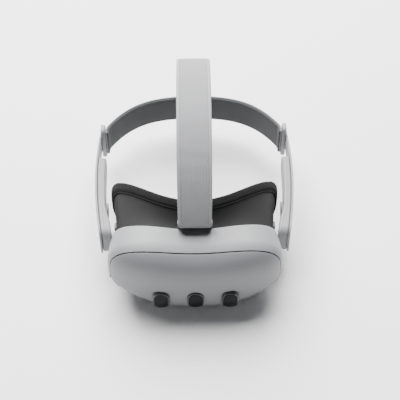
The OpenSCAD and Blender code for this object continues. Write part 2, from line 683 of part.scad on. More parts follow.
// Soft strap over the crown: an arch from the anchor's bar to the rear slider
module overhead_strap() place(strap_grey) {
    arch_from = asin((band_top + 4 - strap_centre[1]) / strap_r);
    arch_to = 180 - asin((anchor_at[1] + 2 - strap_centre[1]) / strap_r);
    translate([-strap_w / 2, strap_centre[0], strap_centre[1]]) rotate([90, 0, 90]) rotate([0, 0, arch_from])
        rotate_extrude(angle = arch_to - arch_from, $fn = 180)
            translate([strap_r - strap_t / 2, 0]) square([strap_t, strap_w]);
    difference() {
        along_width(anchor_at[0], anchor_at[1], -anchor_half + 1.6, anchor_half - 1.6, fold_r);
        along_width(anchor_at[0], anchor_at[1], -strap_w, strap_w, anchor_r + 0.15);
    }
}

front_cover();
main_shell();
sensor_bezels();
left_sensor_window();
centre_sensor_window();
right_sensor_window();
tracking_cameras();
depth_projector();
side_cameras();
battery_pack();
main_board();
heat_sink();
chassis_frame();
chassis_screws();
fan_housing();
fan_rotor();
lens_panel();
lens_guide_rod();
spacing_screw();
spacing_wheel();
left_lens_barrel();
left_lens();
left_display();
right_lens_barrel();
right_lens();
right_display();
proximity_sensor();
power_button();
volume_rocker();
rocker_bracket();
usb_inlet();
audio_socket();
charging_contacts();
status_light();
strap_anchor();
left_temple();
right_temple();
interface_frame();
face_cushion();
left_release_button();
right_release_button();
left_arm();
right_arm();
left_arm_band();
right_arm_band();
left_speaker();
right_speaker();
left_speaker_grille();
right_speaker_grille();
left_buckle();
right_buckle();
rear_band();
rear_slider();
overhead_strap();
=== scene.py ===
"""Standalone headset: the visual model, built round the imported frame.

Lengths are metres in the frame's own axes: +X across, -Y the way the visor faces, +Z up.
"""
import math

import bmesh
import bpy
from mathutils import Matrix, Vector


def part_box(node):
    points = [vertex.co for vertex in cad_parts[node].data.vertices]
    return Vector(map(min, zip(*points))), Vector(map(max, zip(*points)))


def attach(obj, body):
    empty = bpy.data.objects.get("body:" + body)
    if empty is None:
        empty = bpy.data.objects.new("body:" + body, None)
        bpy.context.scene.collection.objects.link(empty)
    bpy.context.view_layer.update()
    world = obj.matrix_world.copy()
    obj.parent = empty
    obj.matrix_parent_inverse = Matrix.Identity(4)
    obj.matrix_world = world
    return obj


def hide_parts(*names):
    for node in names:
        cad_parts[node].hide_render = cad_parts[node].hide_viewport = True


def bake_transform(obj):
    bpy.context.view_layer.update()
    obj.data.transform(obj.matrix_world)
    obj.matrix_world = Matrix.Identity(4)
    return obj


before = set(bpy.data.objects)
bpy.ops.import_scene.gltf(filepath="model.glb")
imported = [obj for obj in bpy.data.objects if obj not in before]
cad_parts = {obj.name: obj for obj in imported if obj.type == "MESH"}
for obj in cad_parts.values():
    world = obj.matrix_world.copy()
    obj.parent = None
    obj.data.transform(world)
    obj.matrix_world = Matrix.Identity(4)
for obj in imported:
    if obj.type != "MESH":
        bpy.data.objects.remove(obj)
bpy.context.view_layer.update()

bl_info = {
    "name": "Standalone Headset",
    "version": (1, 0, 0),
    "blender": (4, 5, 0),
    "location": "3D View > Sidebar > Headset",
    "description": "Builds the shells, soft parts and finishes of a standalone headset",
    "category": "Add Mesh",
}

MM = 0.001
SIDES = {"left": -1, "right": 1}

COVER_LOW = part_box("front_cover")[0]
CUSHION_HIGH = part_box("face_cushion")[1]
BAND_LOW, BAND_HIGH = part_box("rear_band")
STRAP_LOW, STRAP_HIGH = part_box("overhead_strap")
SLIDER_LOW, SLIDER_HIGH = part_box("rear_slider")
FRONT_Y = COVER_LOW.y
PIVOT_Y, PIVOT_Z = FRONT_Y + 57 * MM, 45 * MM
ARM_OUTER_X, ARM_WIDEST_Y, ARM_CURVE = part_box("right_arm_band")[1].x, FRONT_Y + 140 * MM, 522 * MM


# ---- settings

def length(name, description, default, low, high):
    """A length setting, its values given in millimetres."""
    return bpy.props.FloatProperty(
        name=name, description=description, default=default * MM, min=low * MM, max=high * MM,
        subtype="DISTANCE", unit="LENGTH")


def base_colour(name, description, default):
    return bpy.props.FloatVectorProperty(
        name=name, description=description, default=default, size=3, min=0, max=1, subtype="COLOR")


class HeadsetShape(bpy.types.PropertyGroup):
    """Sizes that shape the shells and the soft parts"""

    wall: length("Wall", "Wall thickness of the visor's shells", 2.2, 1, 4)
    seam: length("Seam", "Width of the gap between the front cover and the shell", 0.5, 0.2, 2)
    middle_height: length("Middle Height", "Height of the visor's foremost point", 42, 35, 45)
    rise: length("Rise", "Reach of the visor's top edge above its foremost point", 46.3, 40, 50)
    dip: length("Dip", "How much lower the top edge is in the middle", 5, 0, 8)
    drop: length("Drop", "Reach of the visor's curve below its foremost point", 50, 45, 55)
    lift: length("Lift", "How much shallower the bottom curve is at the sides", 18, 0, 20)
    widest: length("Widest Depth", "Depth of the visor's widest line", 26, 20, 30)
    arm_round: length("Arm Rounding", "Radius along the edges of the side arms", 2.3, 0.5, 3.5)
    strap_narrow: length("Strap Narrowing", "How much narrower the overhead strap's front is", 0.6, 0, 4)
    cushion_swell: bpy.props.FloatProperty(
        name="Cushion Swell", description="Pressure that fills out the face cushion",
        default=4.0, min=0.0, max=10.0)


class HeadsetFinishes(bpy.types.PropertyGroup):
    """Base colours of the finishes"""

    # Set darker than the shell's colour: painted shade for the front cover, whose surface faces forward and
    # gets less of the overhead light.
    cover: base_colour("Front Cover", "Colour of the front cover's plastic", (0.19, 0.193, 0.203))
    shell: base_colour("Shell", "Colour of the main shell's plastic", (0.24, 0.243, 0.252))
    arm: base_colour("Arms", "Colour of the side arms and buckles", (0.25, 0.252, 0.262))
    strap: base_colour("Strap", "Colour of the overhead strap's elastic", (0.30, 0.302, 0.312))
    # Colour of the dark sheet on the rear band's inner face: painted shade where that face turns away from
    # the overhead light.
    painted_shade_sheet: base_colour("Band Lining", "Colour of the inside of the rear band", (0.07, 0.071, 0.074))
    cushion: base_colour("Cushion", "Colour of the cushion's knitted cover", (0.006, 0.006, 0.0065))
    panel: base_colour("Interface", "Colour of the interface's flared wall", (0.016, 0.016, 0.0165))


class HeadsetStage(bpy.types.PropertyGroup):
    """Camera and light"""

    elevation: bpy.props.FloatProperty(
        name="Elevation", description="Camera's angle above the horizon",
        default=math.radians(52), min=0, max=math.radians(89), subtype="ANGLE", unit="ROTATION")
    azimuth: bpy.props.FloatProperty(
        name="Azimuth", description="Camera's turn round the headset",
        default=math.radians(-0.75), subtype="ANGLE", unit="ROTATION")
    distance: length("Distance", "Distance from the camera to the point it looks at", 979, 300, 3000)
    lens: bpy.props.FloatProperty(
        name="Lens", description="Focal length in millimetres", default=95.85, min=20, max=300)
    key: bpy.props.FloatProperty(
        name="Overhead Light", description="Power of the large light above and behind",
        default=205.0, min=0, max=500, unit="POWER")
    fill: bpy.props.FloatProperty(
        name="Front Light", description="Power of the soft light in front",
        default=1.5, min=0, max=500, unit="POWER")
    room: bpy.props.FloatProperty(
        name="Room Light", description="Strength of the even light all round", default=0.10, min=0, max=5)


# ---- finishes

class Signal:
    """A shader socket that can be used in sums, products and comparisons."""

    def __init__(self, finish, socket):
        self.finish = finish
        self.socket = socket

    def maths(self, operation, *others):
        values = dict(enumerate((self,) + others))
        node = self.finish.node("ShaderNodeMath", {"operation": operation}, values)
        return Signal(self.finish, node.outputs[0])

    def __add__(self, other):
        return self.maths("ADD", other)

    def __sub__(self, other):
        return self.maths("SUBTRACT", other)

    def __mul__(self, other):
        return self.maths("MULTIPLY", other)

    def __rsub__(self, other):
        return (self * -1.0) + other

    def __gt__(self, other):
        return self.maths("GREATER_THAN", other)

    __radd__ = __add__
    __rmul__ = __mul__

    def size(self):
        return self.maths("ABSOLUTE")

    def sine(self):
        return self.maths("SINE")

    def larger(self, other):
        return self.maths("MAXIMUM", other)


class Finish:
    """A material and its Principled shader, with short ways to add nodes to it."""

    def __init__(self, name, colour, roughness, metallic=0.0, **shader):
        self.material = bpy.data.materials.new(name)
        self.material.use_nodes = True
        self.tree = self.material.node_tree
        self.tree.nodes.clear()
        self.colour = tuple(colour) + (1.0,)
        sockets = {"Base Color": self.colour, "Roughness": roughness, "Metallic": metallic}
        sockets.update({key.replace("_", " "): value for key, value in shader.items()})
        self.shader = self.node("ShaderNodeBsdfPrincipled", {}, sockets)
        self.node("ShaderNodeOutputMaterial", {}, {"Surface": Signal(self, self.shader.outputs[0])})

    def node(self, kind, settings, sockets):
        """A node of a kind, with its settings made first and its sockets then set or linked."""
        made = self.tree.nodes.new(kind)
        for key, value in settings.items():
            setattr(made, key, value)
        for key, value in sockets.items():
            if isinstance(value, Signal):
                self.tree.links.new(value.socket, made.inputs[key])
            else:
                made.inputs[key].default_value = value
        return made

    def feed(self, **signals):
        for key, value in signals.items():
            self.tree.links.new(value.socket, self.shader.inputs[key.replace("_", " ")])

    def place(self, own_map=False):
        """The point on the piece, in metres, or its own map's coordinates."""
        coordinates = self.node("ShaderNodeTexCoord", {}, {})
        return Signal(self, coordinates.outputs["UV" if own_map else "Object"])

    def parts(self, vector):
        split = self.node("ShaderNodeSeparateXYZ", {}, {0: vector})
        return [Signal(self, out) for out in split.outputs]

    def noise(self, vector, scale, detail=2.0, roughness=0.5):
        made = self.node("ShaderNodeTexNoise", {}, {
            "Vector": vector, "Scale": scale, "Detail": detail, "Roughness": roughness})
        return Signal(self, made.outputs[0])

    def ramp(self, signal, low, high, from_level=0.0, to_level=1.0):
        made = self.node("ShaderNodeMapRange", {}, {
            0: signal, 1: low, 2: high, 3: from_level, 4: to_level})
        return Signal(self, made.outputs[0])

    def blend(self, amount, first, second):
        """A colour between two, by an amount from 0 to 1."""
        made = self.node("ShaderNodeMix", {"data_type": "RGBA"}, {0: amount, 6: first, 7: second})
        return Signal(self, made.outputs[2])

    def shade(self, factor):
        """The base colour, lighter or darker by a factor."""
        return tuple(min(1.0, c * factor) for c in self.colour[:3]) + (1.0,)

    def tint(self, amount, factor):
        """The base colour, moved towards a lighter or darker one by an amount."""
        self.feed(Base_Color=self.blend(amount, self.colour, self.shade(factor)))

    def bump(self, height, depth, strength=1.0):
        made = self.node("ShaderNodeBump", {}, {"Height": height, "Distance": depth, "Strength": strength})
        self.feed(Normal=Signal(self, made.outputs[0]))


def moulded(name, colour, roughness=0.48, grain=2600.0, depth=0.00004, **shader):
    """Moulded plastic: a fine spark-eroded grain, with slightly uneven gloss and handling marks."""
    made = Finish(name, colour, roughness, **shader)
    point = made.place()
    fine = made.noise(point, grain, 3.0, 0.6)
    broad = made.noise(point, 28.0, 3.0, 0.55)
    rubbed = made.noise(point, 140.0, 4.0, 0.65)
    made.tint(broad * 0.5 + rubbed * 0.25, 0.93)
    made.feed(Roughness=made.ramp(broad + rubbed * 0.6, 0.4, 1.2, roughness - 0.05, roughness + 0.07))
    made.bump(fine, depth)
    return made.material


def glossy(name, colour, roughness=0.06, **shader):
    """Polished dark plastic or coated glass, with faint smears."""
    made = Finish(name, colour, roughness, **shader)
    point = made.place()
    smears = made.noise(point, 60.0, 5.0, 0.7)
    made.feed(Roughness=made.ramp(smears, 0.45, 0.8, roughness, roughness + 0.12))
    made.tint(made.noise(point, 18.0), 0.8)
    return made.material


def metal(name, colour, roughness=0.3, scratch=900.0):
    """Plated or machined metal with fine tool marks."""
    made = Finish(name, colour, roughness, metallic=1.0)
    point = made.place()
    marks = made.noise(point, scratch, 4.0, 0.7)
    made.feed(Roughness=made.ramp(marks, 0.3, 0.7, roughness - 0.08, roughness + 0.12))
    made.tint(made.noise(point, 90.0), 0.86)
    made.bump(marks, 0.00002)
    return made.material


def elastic(name, colour, width, rib=0.9 * MM, edge_light=1.14):
    """Woven elastic: ribs across the strap, a cord twist in each, and firmer selvedges; the rib troughs and
    the groove inside each selvedge are darkened as painted shade.
    """
    made = Finish(name, colour, 0.82, Sheen_Weight=0.06, Sheen_Roughness=0.5, Specular_IOR_Level=0.25)
    across, along, _ = made.parts(made.place(own_map=True))
    turns = 2 * math.pi
    ribs = (along * (turns / rib)).sine() * 0.5 + 0.5
    cords = (across * (turns / (1.3 * MM))).sine() * 0.5 + 0.5
    reach = (across * (1 / width)).size()
    selvedge = made.ramp(reach, 0.40, 0.43) * made.ramp(reach, 0.49, 0.47)
    groove = made.ramp((reach - 0.395).size(), 0.012, 0.0)
    wear = made.noise(made.place(), 45.0, 4.0, 0.6)
    worn = made.blend(wear * 0.55, made.colour, made.shade(0.86))
    edged = made.blend(selvedge * 0.5, worn, made.shade(edge_light))
    dark = made.shade(0.62)
    # Painted shade: the troughs between the ribs are darkened.
    ribs_with_painted_shade = made.blend((1.0 - ribs) * 0.28, edged, dark)
    # Painted shade: the groove line inside each selvedge is darkened.
    made.feed(Base_Color=made.blend(groove * 0.55, ribs_with_painted_shade, dark))
    fuzz = made.noise(made.place(), 5200.0, 2.0, 0.7)
    made.bump(ribs * (1.0 - selvedge * 0.7) + cords * 0.3 + fuzz * 0.3 + selvedge * 0.5 - groove, 0.00022)
    return made.material


def knitted(name, colour, stitch=0.75 * MM, depth=0.00018):
    """Fine knitted cover: small staggered loops with a soft sheen."""
    made = Finish(name, colour, 0.9, Sheen_Weight=0.04, Sheen_Roughness=0.45, Specular_IOR_Level=0.2)
    point = made.place()
    x, y, z = made.parts(point)
    turns = 2 * math.pi / stitch
    wales = (x * turns).sine() * ((y + z) * turns * 0.7).sine()
    fuzz = made.noise(point, 3800.0, 3.0, 0.7)
    broad = made.noise(point, 30.0, 3.0)
    made.tint(broad * 0.6 + wales * 0.2, 0.72)
    made.bump(wales * 0.5 + fuzz * 0.6, depth)
    return made.material


def silicone(name, colour):
    """Soft-touch rubber skin, with a dusty bloom."""
    made = Finish(name, colour, 0.66, Sheen_Weight=0.03, Sheen_Roughness=0.6, Specular_IOR_Level=0.2)
    point = made.place()
    bloom = made.noise(point, 35.0, 4.0, 0.6)
    made.tint(bloom * 0.8, 1.35)
    made.feed(Roughness=made.ramp(bloom, 0.3, 0.7, 0.58, 0.74))
    made.bump(made.noise(point, 3200.0, 3.0, 0.6), 0.00005)
    return made.material


def circuit(name, colour):
    """Solder mask over copper tracks."""
    made = Finish(name, colour, 0.4)
    point = made.place()
    x, _, z = made.parts(point)
    tracks = (((x + z * 0.5) * 2600.0).sine() > 0.86).larger((z * 3100.0).sine() > 0.9)
    made.tint(tracks * 0.7, 2.2)
    made.bump(tracks, 0.00003)
    return made.material


def build_finishes(colours):
    """Every finish by its short name."""
    white = (0.60, 0.602, 0.612)
    strap_w, band_w = STRAP_HIGH.x - STRAP_LOW.x, BAND_HIGH.z - BAND_LOW.z
    return {
        # Painted shade: the cover takes a darker copy of the shell's plastic colour.
        "cover": moulded("cover_plastic_painted_shade", colours.cover, 0.46, 2400, 0.00004),
        "shell": moulded("shell_plastic", colours.shell, 0.50, 2400, 0.00005),
        "arm": moulded("arm_plastic", colours.arm, 0.52, 2600, 0.00004),
        "temple": moulded("temple_plastic", white, 0.4, 2600, 0.00003),
        "bezel": moulded("bezel_plastic", (0.055, 0.056, 0.060), 0.42, 3000, 0.00003),
        "dark": moulded("dark_plastic", (0.022, 0.022, 0.024), 0.55, 2600, 0.00005),
        "release": moulded("release_plastic", (0.10, 0.10, 0.105), 0.45, 2600, 0.00004),
        "battery": moulded("battery_wrap", (0.06, 0.07, 0.09), 0.5, 900, 0.00003),
        "window": glossy("sensor_glass", (0.004, 0.004, 0.005), 0.14, Specular_IOR_Level=0.08),
        "lens": glossy("lens_coating", (0.012, 0.010, 0.022), 0.03, Coat_Weight=1.0, Coat_Roughness=0.02),
        "display": glossy("display_glass", (0.004, 0.004, 0.005), 0.08),
        "light": glossy("light_pipe", (0.62, 0.62, 0.58), 0.25),
        "steel": metal("plated_steel", (0.56, 0.56, 0.58), 0.3),
        "alloy": metal("cast_alloy", (0.42, 0.43, 0.45), 0.42, 500),
        "gold": metal("contact_plating", (0.72, 0.55, 0.26), 0.28),
        "board": circuit("circuit_board", (0.010, 0.055, 0.028)),
        "strap": elastic("strap_elastic", colours.strap, strap_w),
        "band": elastic("band_elastic", colours.strap, band_w),
        # The rear band's inner sheet, darkened as painted shade.
        "painted_shade_sheet": elastic("band_inside_painted_shade", colours.painted_shade_sheet, band_w, 1.1 * MM, 1.2),
        "cushion": knitted("cushion_knit", colours.cushion),
        "panel": silicone("interface_skin", colours.panel),
        "thread": knitted("seam_piping", (0.007, 0.007, 0.0075), 0.5 * MM, 0.00006),
    }


FINISHES = {}


# ---- mesh helpers

def mix(a, b, t):
    return a + (b - a) * t


def signed_power(value, exponent):
    return math.copysign(abs(value) ** exponent, value)


def arc_steps(count, start, end):
    return [mix(start, end, k / (count - 1)) for k in range(count)]


def around(step, count):
    """The angle of a step round a closed loop."""
    return 2 * math.pi * step / count


def loft(columns, rings, place, closed=False, capped=False, unwrap=None):
    """A ring of points extruded through more rings. place(column, ring) says where each point lies."""
    form = bmesh.new()
    turn = form.verts.layers.int.new("turn")
    step = form.verts.layers.int.new("step")
    first = bmesh.ops.create_circle(form, cap_ends=False, segments=columns, radius=1)["verts"]
    for column, vert in enumerate(first):
        vert[turn] = column
        vert.co = place(column, 0)
    edges = list(form.edges)
    for ring in range(1, rings + (1 if closed else 0)):
        made = bmesh.ops.extrude_edge_only(form, edges=edges)["geom"]
        verts = [g for g in made if isinstance(g, bmesh.types.BMVert)]
        fresh = set(verts)
        edges = [g for g in made if isinstance(g, bmesh.types.BMEdge) and set(g.verts) <= fresh]
        for vert in verts:
            vert[step] = ring
            vert.co = place(vert[turn], ring % rings)
    if unwrap:
        chart = form.loops.layers.uv.new("UVMap")
        for face in form.faces:
            for loop in face.loops:
                loop[chart].uv = unwrap(loop.vert[turn], loop.vert[step])
    if capped:
        rims = [e for e in form.edges if e.is_boundary]
        bmesh.ops.holes_fill(form, edges=rims, sides=0)
    bmesh.ops.remove_doubles(form, verts=form.verts, dist=1e-7)
    bmesh.ops.recalc_face_normals(form, faces=form.faces)
    return form


def turned_out(form, inside):
    """Turns an open sheet's faces away from a point inside it."""
    face = max(form.faces, key=lambda f: (f.calc_center_median() - inside).length)
    if face.normal.dot(face.calc_center_median() - inside) < 0:
        bmesh.ops.reverse_faces(form, faces=form.faces)
    return form


def prism(outline, direction, low, high):
    """A closed solid: an outline of (across, up) points pushed along an axis, 0 for X and 1 for Y."""
    form = bmesh.new()
    verts = bmesh.ops.create_circle(form, cap_ends=True, segments=len(outline), radius=1)["verts"]
    push = high - low
    for vert, (across, up) in zip(verts, outline):
        vert.co = (low, across, up) if direction == 0 else (across, low, up)
    made = bmesh.ops.extrude_face_region(form, geom=form.faces[:])["geom"]
    moved = [g for g in made if isinstance(g, bmesh.types.BMVert)]
    bmesh.ops.translate(form, verts=moved, vec=(push, 0, 0) if direction == 0 else (0, push, 0))
    bmesh.ops.recalc_face_normals(form, faces=form.faces)
    return form


def side_prism(outline, side, near, far):
    """A prism along X on one side, between two distances from the middle."""
    return prism(outline, 0, min(side * near, side * far), max(side * near, side * far))


def plug(spot, tilt, radius, depth, far_radius=None, segments=64):
    """A closed round form centred on a spot, its axis tilted from Z about Y."""
    form = bmesh.new()
    bmesh.ops.create_cone(form, cap_ends=True, segments=segments, radius1=radius,
                          radius2=far_radius or radius, depth=depth)
    bmesh.ops.rotate(form, verts=form.verts, matrix=Matrix.Rotation(tilt, 3, "Y"))
    bmesh.ops.translate(form, verts=form.verts, vec=spot)
    return form


def middle_and_size(node):
    low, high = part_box(node)
    return (low + high) / 2, high - low


def rounded_outline(across, up, width, height, radius, steps=8):
    """Points round a rectangle with rounded corners."""
    radius = min(radius, width / 2 - 1e-6, height / 2 - 1e-6)
    points = []
    for corner, (sx, sz) in enumerate(((1, 1), (-1, 1), (-1, -1), (1, -1))):
        for a in arc_steps(steps, corner * math.pi / 2, (corner + 1) * math.pi / 2):
            points.append((across + sx * (width / 2 - radius) + radius * math.cos(a),
                           up + sz * (height / 2 - radius) + radius * math.sin(a)))
    return points


def piece(name, form, finish):
    """A finished bmesh as a smooth-shaded object with its finish."""
    mesh = bpy.data.meshes.new(name)
    form.to_mesh(mesh)
    form.free()
    made = bpy.data.objects.new(name, mesh)
    bpy.context.scene.collection.objects.link(made)
    mesh.materials.append(FINISHES[finish])
    mesh.shade_smooth()
    return made


def settle(made, sharp=38):
    """Applies a piece's modifiers to its mesh and keeps hard edges crisp."""
    bpy.context.view_layer.update()
    graph = bpy.context.evaluated_depsgraph_get()
    mesh = bpy.data.meshes.new_from_object(made.evaluated_get(graph))
    made.modifiers.clear()
    made.data = mesh
    mesh.shade_smooth()
    mesh.set_sharp_from_angle(angle=math.radians(sharp))
    return made


def thicken(made, thickness):
    grow = made.modifiers.new("wall", "SOLIDIFY")
    grow.thickness = thickness
    grow.offset = -1
    grow.use_even_offset = False
    return made


def soften(made, width, segments=3, angle=35):
    """Rounds a piece's hard edges."""
    edge = made.modifiers.new("edges", "BEVEL")
    edge.width = width
    edge.segments = segments
    edge.limit_method = "ANGLE"
    edge.angle_limit = math.radians(angle)
    return made


def rounded_piece(name, form, finish, radius, segments=3, angle=35, sharp=45):
    """A finished piece with its hard edges rounded."""
    return settle(soften(piece(name, form, finish), radius, segments, angle), sharp)


def cut_away(made, forms):
    """Cuts closed forms out of a piece."""
    for form in forms:
        cutter = piece("cutter", form, "dark")
        cut = made.modifiers.new("cut", "BOOLEAN")
        cut.operation = "DIFFERENCE"
        cut.solver = "EXACT"
        cut.object = cutter
        settle(made)
        bpy.data.objects.remove(cutter)
    return made


def stand_for(made, body, slot, *nodes):
    """The piece rides on a body and stands for CAD nodes, which it hides; its slot is not used."""
    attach(made, body)
    if nodes:
        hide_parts(*nodes)
    return made


def dress(finish, nodes):
    """Gives CAD nodes that stay in view their finish."""
    for node in nodes:
        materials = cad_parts[node].data.materials
        materials.clear()
        materials.append(FINISHES[finish])


# ---- visor

class Dome:
    """The visor's outer surface: a curve back to its widest line, then a band back to its rear rim."""

    UPPER, LOWER, DEPTHWAYS = (3.1, 3.8), (2.6, 2.2), 0.6
    SEAM_UPPER, SEAM_LOWER = 3.6, 3.0
    DIP_WIDTH, SEAM_DIP = 32 * MM, 4.2 * MM
    SEAM_TOP, SEAM_HALF_W = 84.6 * MM, 76.3 * MM
    RIM_DEPTH, RIM_WRAP, RIM_TUCK = 39 * MM, 10 * MM, 0.045

    def __init__(self, shape):
        self.half_w = 78.5 * MM
        self.middle = shape.middle_height
        self.rise, self.dip = shape.rise, shape.dip
        self.drop, self.lift = shape.drop, shape.lift
        self.widest = shape.widest
        self.seam_middle = (self.SEAM_TOP + COVER_LOW.z) / 2
        self.even = self.even_angles(1440)

    def dipped(self, x, amount):
        return amount * math.exp(-(x / self.DIP_WIDTH) ** 2)

    def height(self, x, upper):
        if upper:
            return self.rise - self.dipped(x, self.dip)
        return self.drop - self.lift * (x / self.half_w) ** 2

    def surface(self, x, z):
        """The Y of the surface in front of a point."""
        upper = z >= self.middle
        across, upright = self.UPPER if upper else self.LOWER
        rise = abs(z - self.middle) / self.height(x, upper)
        fill = (abs(x) / self.half_w) ** across + rise ** upright
        return FRONT_Y + self.widest * (1 - max(0.0, 1 - fill) ** self.DEPTHWAYS)

    def outline(self, angle, inset=0.0):
        """A point of the widest line."""
        upper = math.sin(angle) >= 0
        across, upright = self.UPPER if upper else self.LOWER
        x = self.half_w * signed_power(math.cos(angle), 2 / across)
        z = self.middle + (self.height(x, upper) - inset) * signed_power(math.sin(angle), 2 / upright)
        return x * (1 - inset / self.half_w), z

    def seam(self, angle, grow):
        """A point of the front cover's edge, grown by an amount."""
        upper = math.sin(angle) >= 0
        power = 2 / (self.SEAM_UPPER if upper else self.SEAM_LOWER)
        x = (self.SEAM_HALF_W + grow) * signed_power(math.cos(angle), power)
        rise = self.SEAM_TOP - self.seam_middle + grow - (self.dipped(x, self.SEAM_DIP) if upper else 0)
        return x, self.seam_middle + rise * signed_power(math.sin(angle), power)

    def even_angles(self, count):
        """Angles that space points evenly along the seam."""
        angles = arc_steps(count * 4 + 1, 0, 2 * math.pi)
        spots = [Vector(self.seam(angle, 0)) for angle in angles]
        lengths = [0.0]
        for first, second in zip(spots, spots[1:]):
            lengths.append(lengths[-1] + (second - first).length)
        even, at = [], 0
        for k in range(count + 1):
            wanted = lengths[-1] * k / count
            while at < len(lengths) - 2 and lengths[at + 1] < wanted:
                at += 1
            part = (wanted - lengths[at]) / max(lengths[at + 1] - lengths[at], 1e-12)
            even.append(mix(angles[at], angles[at + 1], part))
        return even

    def angle_at(self, share):
        """The angle a share of the way round the seam."""
        spot = (share % 1.0) * (len(self.even) - 1)
        at = int(spot)
        return mix(self.even[at], self.even[at + 1], spot - at)

    def rim(self, x):
        return FRONT_Y + self.RIM_DEPTH + self.RIM_WRAP * (x / self.half_w) ** 2


def share_round(across, up):
    """Share of the way round a square at which a point lies, from the middle of its right side."""
    reach = max(abs(across), abs(up)) or 1.0
    if across == reach:
        return up / reach / 8
    if up == reach:
        return 0.25 - across / reach / 8
    if across == -reach:
        return 0.5 - up / reach / 8
    return 0.75 + across / reach / 8


def window_boxes():
    return {name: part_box(name + "_sensor_window") for name in ("left", "centre", "right")}


def pill_outline(low, high, grow, steps=14):
    """Upright outline with round ends, from a box's corners, grown by an amount."""
    width = high.x - low.x + 2 * grow
    return rounded_outline((low.x + high.x) / 2, (low.z + high.z) / 2, width,
                           high.z - low.z + 2 * grow, width / 2, steps)


def build_front_cover(shape):
    dome = Dome(shape)
    form = bmesh.new()
    bmesh.ops.create_grid(form, x_segments=132, y_segments=96, size=1)
    for vert in form.verts:
        reach = max(abs(vert.co.x), abs(vert.co.y))
        x, z = dome.seam(dome.angle_at(share_round(vert.co.x, vert.co.y)), -shape.seam / 2)
        x, z = x * reach, mix(dome.seam_middle, z, reach)
        vert.co = (x, dome.surface(x, z), z)
    bmesh.ops.recalc_face_normals(form, faces=form.faces)
    turned_out(form, Vector((0, FRONT_Y + dome.widest, dome.seam_middle)))
    cover = thicken(piece("front_cover_panel", form, "cover"), shape.wall)
    soften(cover, 0.25 * MM, 3, 50)
    settle(cover)
    gap = 1.35 * MM
    before, behind = FRONT_Y - 10 * MM, FRONT_Y + 14 * MM
    cut_away(cover, [prism(pill_outline(low, high, gap), 1, before, behind)
                     for low, high in window_boxes().values()])
    return stand_for(cover, "visor", "cover", "front_cover")


def side_cutters():
    """Forms that open the shell for its controls, sockets, cameras and wheel."""
    inner, outer = 68 * MM, 84 * MM
    holes = {"power_button": (3.0, 0.25), "volume_rocker": (3.0, 0.3),
             "audio_socket": (3.2, 0.15), "status_light": (0.85, 0.05)}
    camera_x, camera_z, camera_tilt = 70.5 * MM, 24.6 * MM, math.radians(126)
    forms = []
    for node, (radius, gap) in holes.items():
        middle, _ = middle_and_size(node)
        size = 2 * (radius + gap) * MM
        outline = rounded_outline(middle.y, middle.z, size, size, size / 2)
        forms.append(side_prism(outline, 1 if middle.x > 0 else -1, inner, outer))
    low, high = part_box("usb_inlet")
    inlet = rounded_outline((low.y + high.y) / 2, (low.z + high.z) / 2, high.y - low.y + 0.3 * MM,
                            high.z - low.z + 0.3 * MM, 1.9 * MM)
    forms.append(side_prism(inlet, -1, inner, outer))
    low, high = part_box("side_cameras")
    for side in SIDES.values():
        spot = (side * camera_x, (low.y + high.y) / 2, camera_z)
        forms.append(plug(spot, side * camera_tilt, 3.3 * MM, 14 * MM, segments=48))
    low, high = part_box("spacing_wheel")
    slot = rounded_outline((low.x + high.x) / 2, 0, high.x - low.x + 1.4 * MM, 8 * MM, 1 * MM)
    forms.append(prism(slot, 1, low.y + 3.5 * MM, high.y - 3.5 * MM))
    return forms


def build_main_shell(shape):
    dome = Dome(shape)
    columns, front_rings, rear_rings = 320, 16, 10
    edge = shape.seam / 2

    def place(column, ring):
        angle = dome.angle_at(column / columns)
        x, z = dome.outline(angle)
        if ring < front_rings:
            t = 1 - (1 - ring / (front_rings - 1)) ** 1.7
            start_x, start_z = dome.seam(angle, edge)
            x, z = mix(start_x, x, t), mix(start_z, z, t)
            return x, dome.surface(x, z), max(z, 0.0)
        t = (ring - front_rings + 1) / rear_rings
        shrink = dome.RIM_TUCK * t * t
        y = mix(FRONT_Y + dome.widest, dome.rim(x), t)
        return x * (1 - shrink), y, max(mix(z, dome.middle, shrink / 5), 0.0)

    form = loft(columns, front_rings + rear_rings, place)
    turned_out(form, Vector((0, FRONT_Y + dome.widest, dome.seam_middle)))
    shell = thicken(piece("main_shell_casing", form, "shell"), shape.wall)
    soften(shell, 0.25 * MM, 3, 50)
    settle(shell)
    cut_away(shell, side_cutters())
    return stand_for(shell, "visor", "shell", "main_shell")


def crowned_pill(low, high, grow, crown, front, back, name, finish, hollow=0.0):
    """Upright pill with a rounded front edge; hollow leaves an opening inside it, as in a bezel."""
    middle = (low.z + high.z) / 2
    curve = 66 * MM
    bow_middle = 35 * MM

    def bow(z):
        return curve - math.sqrt(curve ** 2 - (z - bow_middle) ** 2)

    profile = [(0.0, back)] + [(crown - crown * math.cos(a), front + crown - crown * math.sin(a))
                               for a in arc_steps(7, 0, math.pi / 2)]
    if hollow:
        profile += [(hollow - 0.25 * MM, front), (hollow, front + 0.25 * MM), (hollow, back)]
    outline = pill_outline(low, high, grow, 16)
    x_middle = (low.x + high.x) / 2
    half_w = (high.x - low.x) / 2 + grow
    straight = (high.z - low.z) / 2 + grow - half_w

    def place(column, ring):
        x, z = outline[column]
        inset, y = profile[ring]
        centre_z = middle + max(-straight, min(straight, z - middle))
        along = Vector((x - x_middle, z - centre_z))
        scale = (half_w - inset) / half_w
        x, z = x_middle + along.x * scale, centre_z + along.y * scale
        return x, y + (bow(z) if ring or not hollow else 0.0), z

    form = loft(len(outline), len(profile), place, closed=bool(hollow), capped=not hollow)
    return piece(name, form, finish)


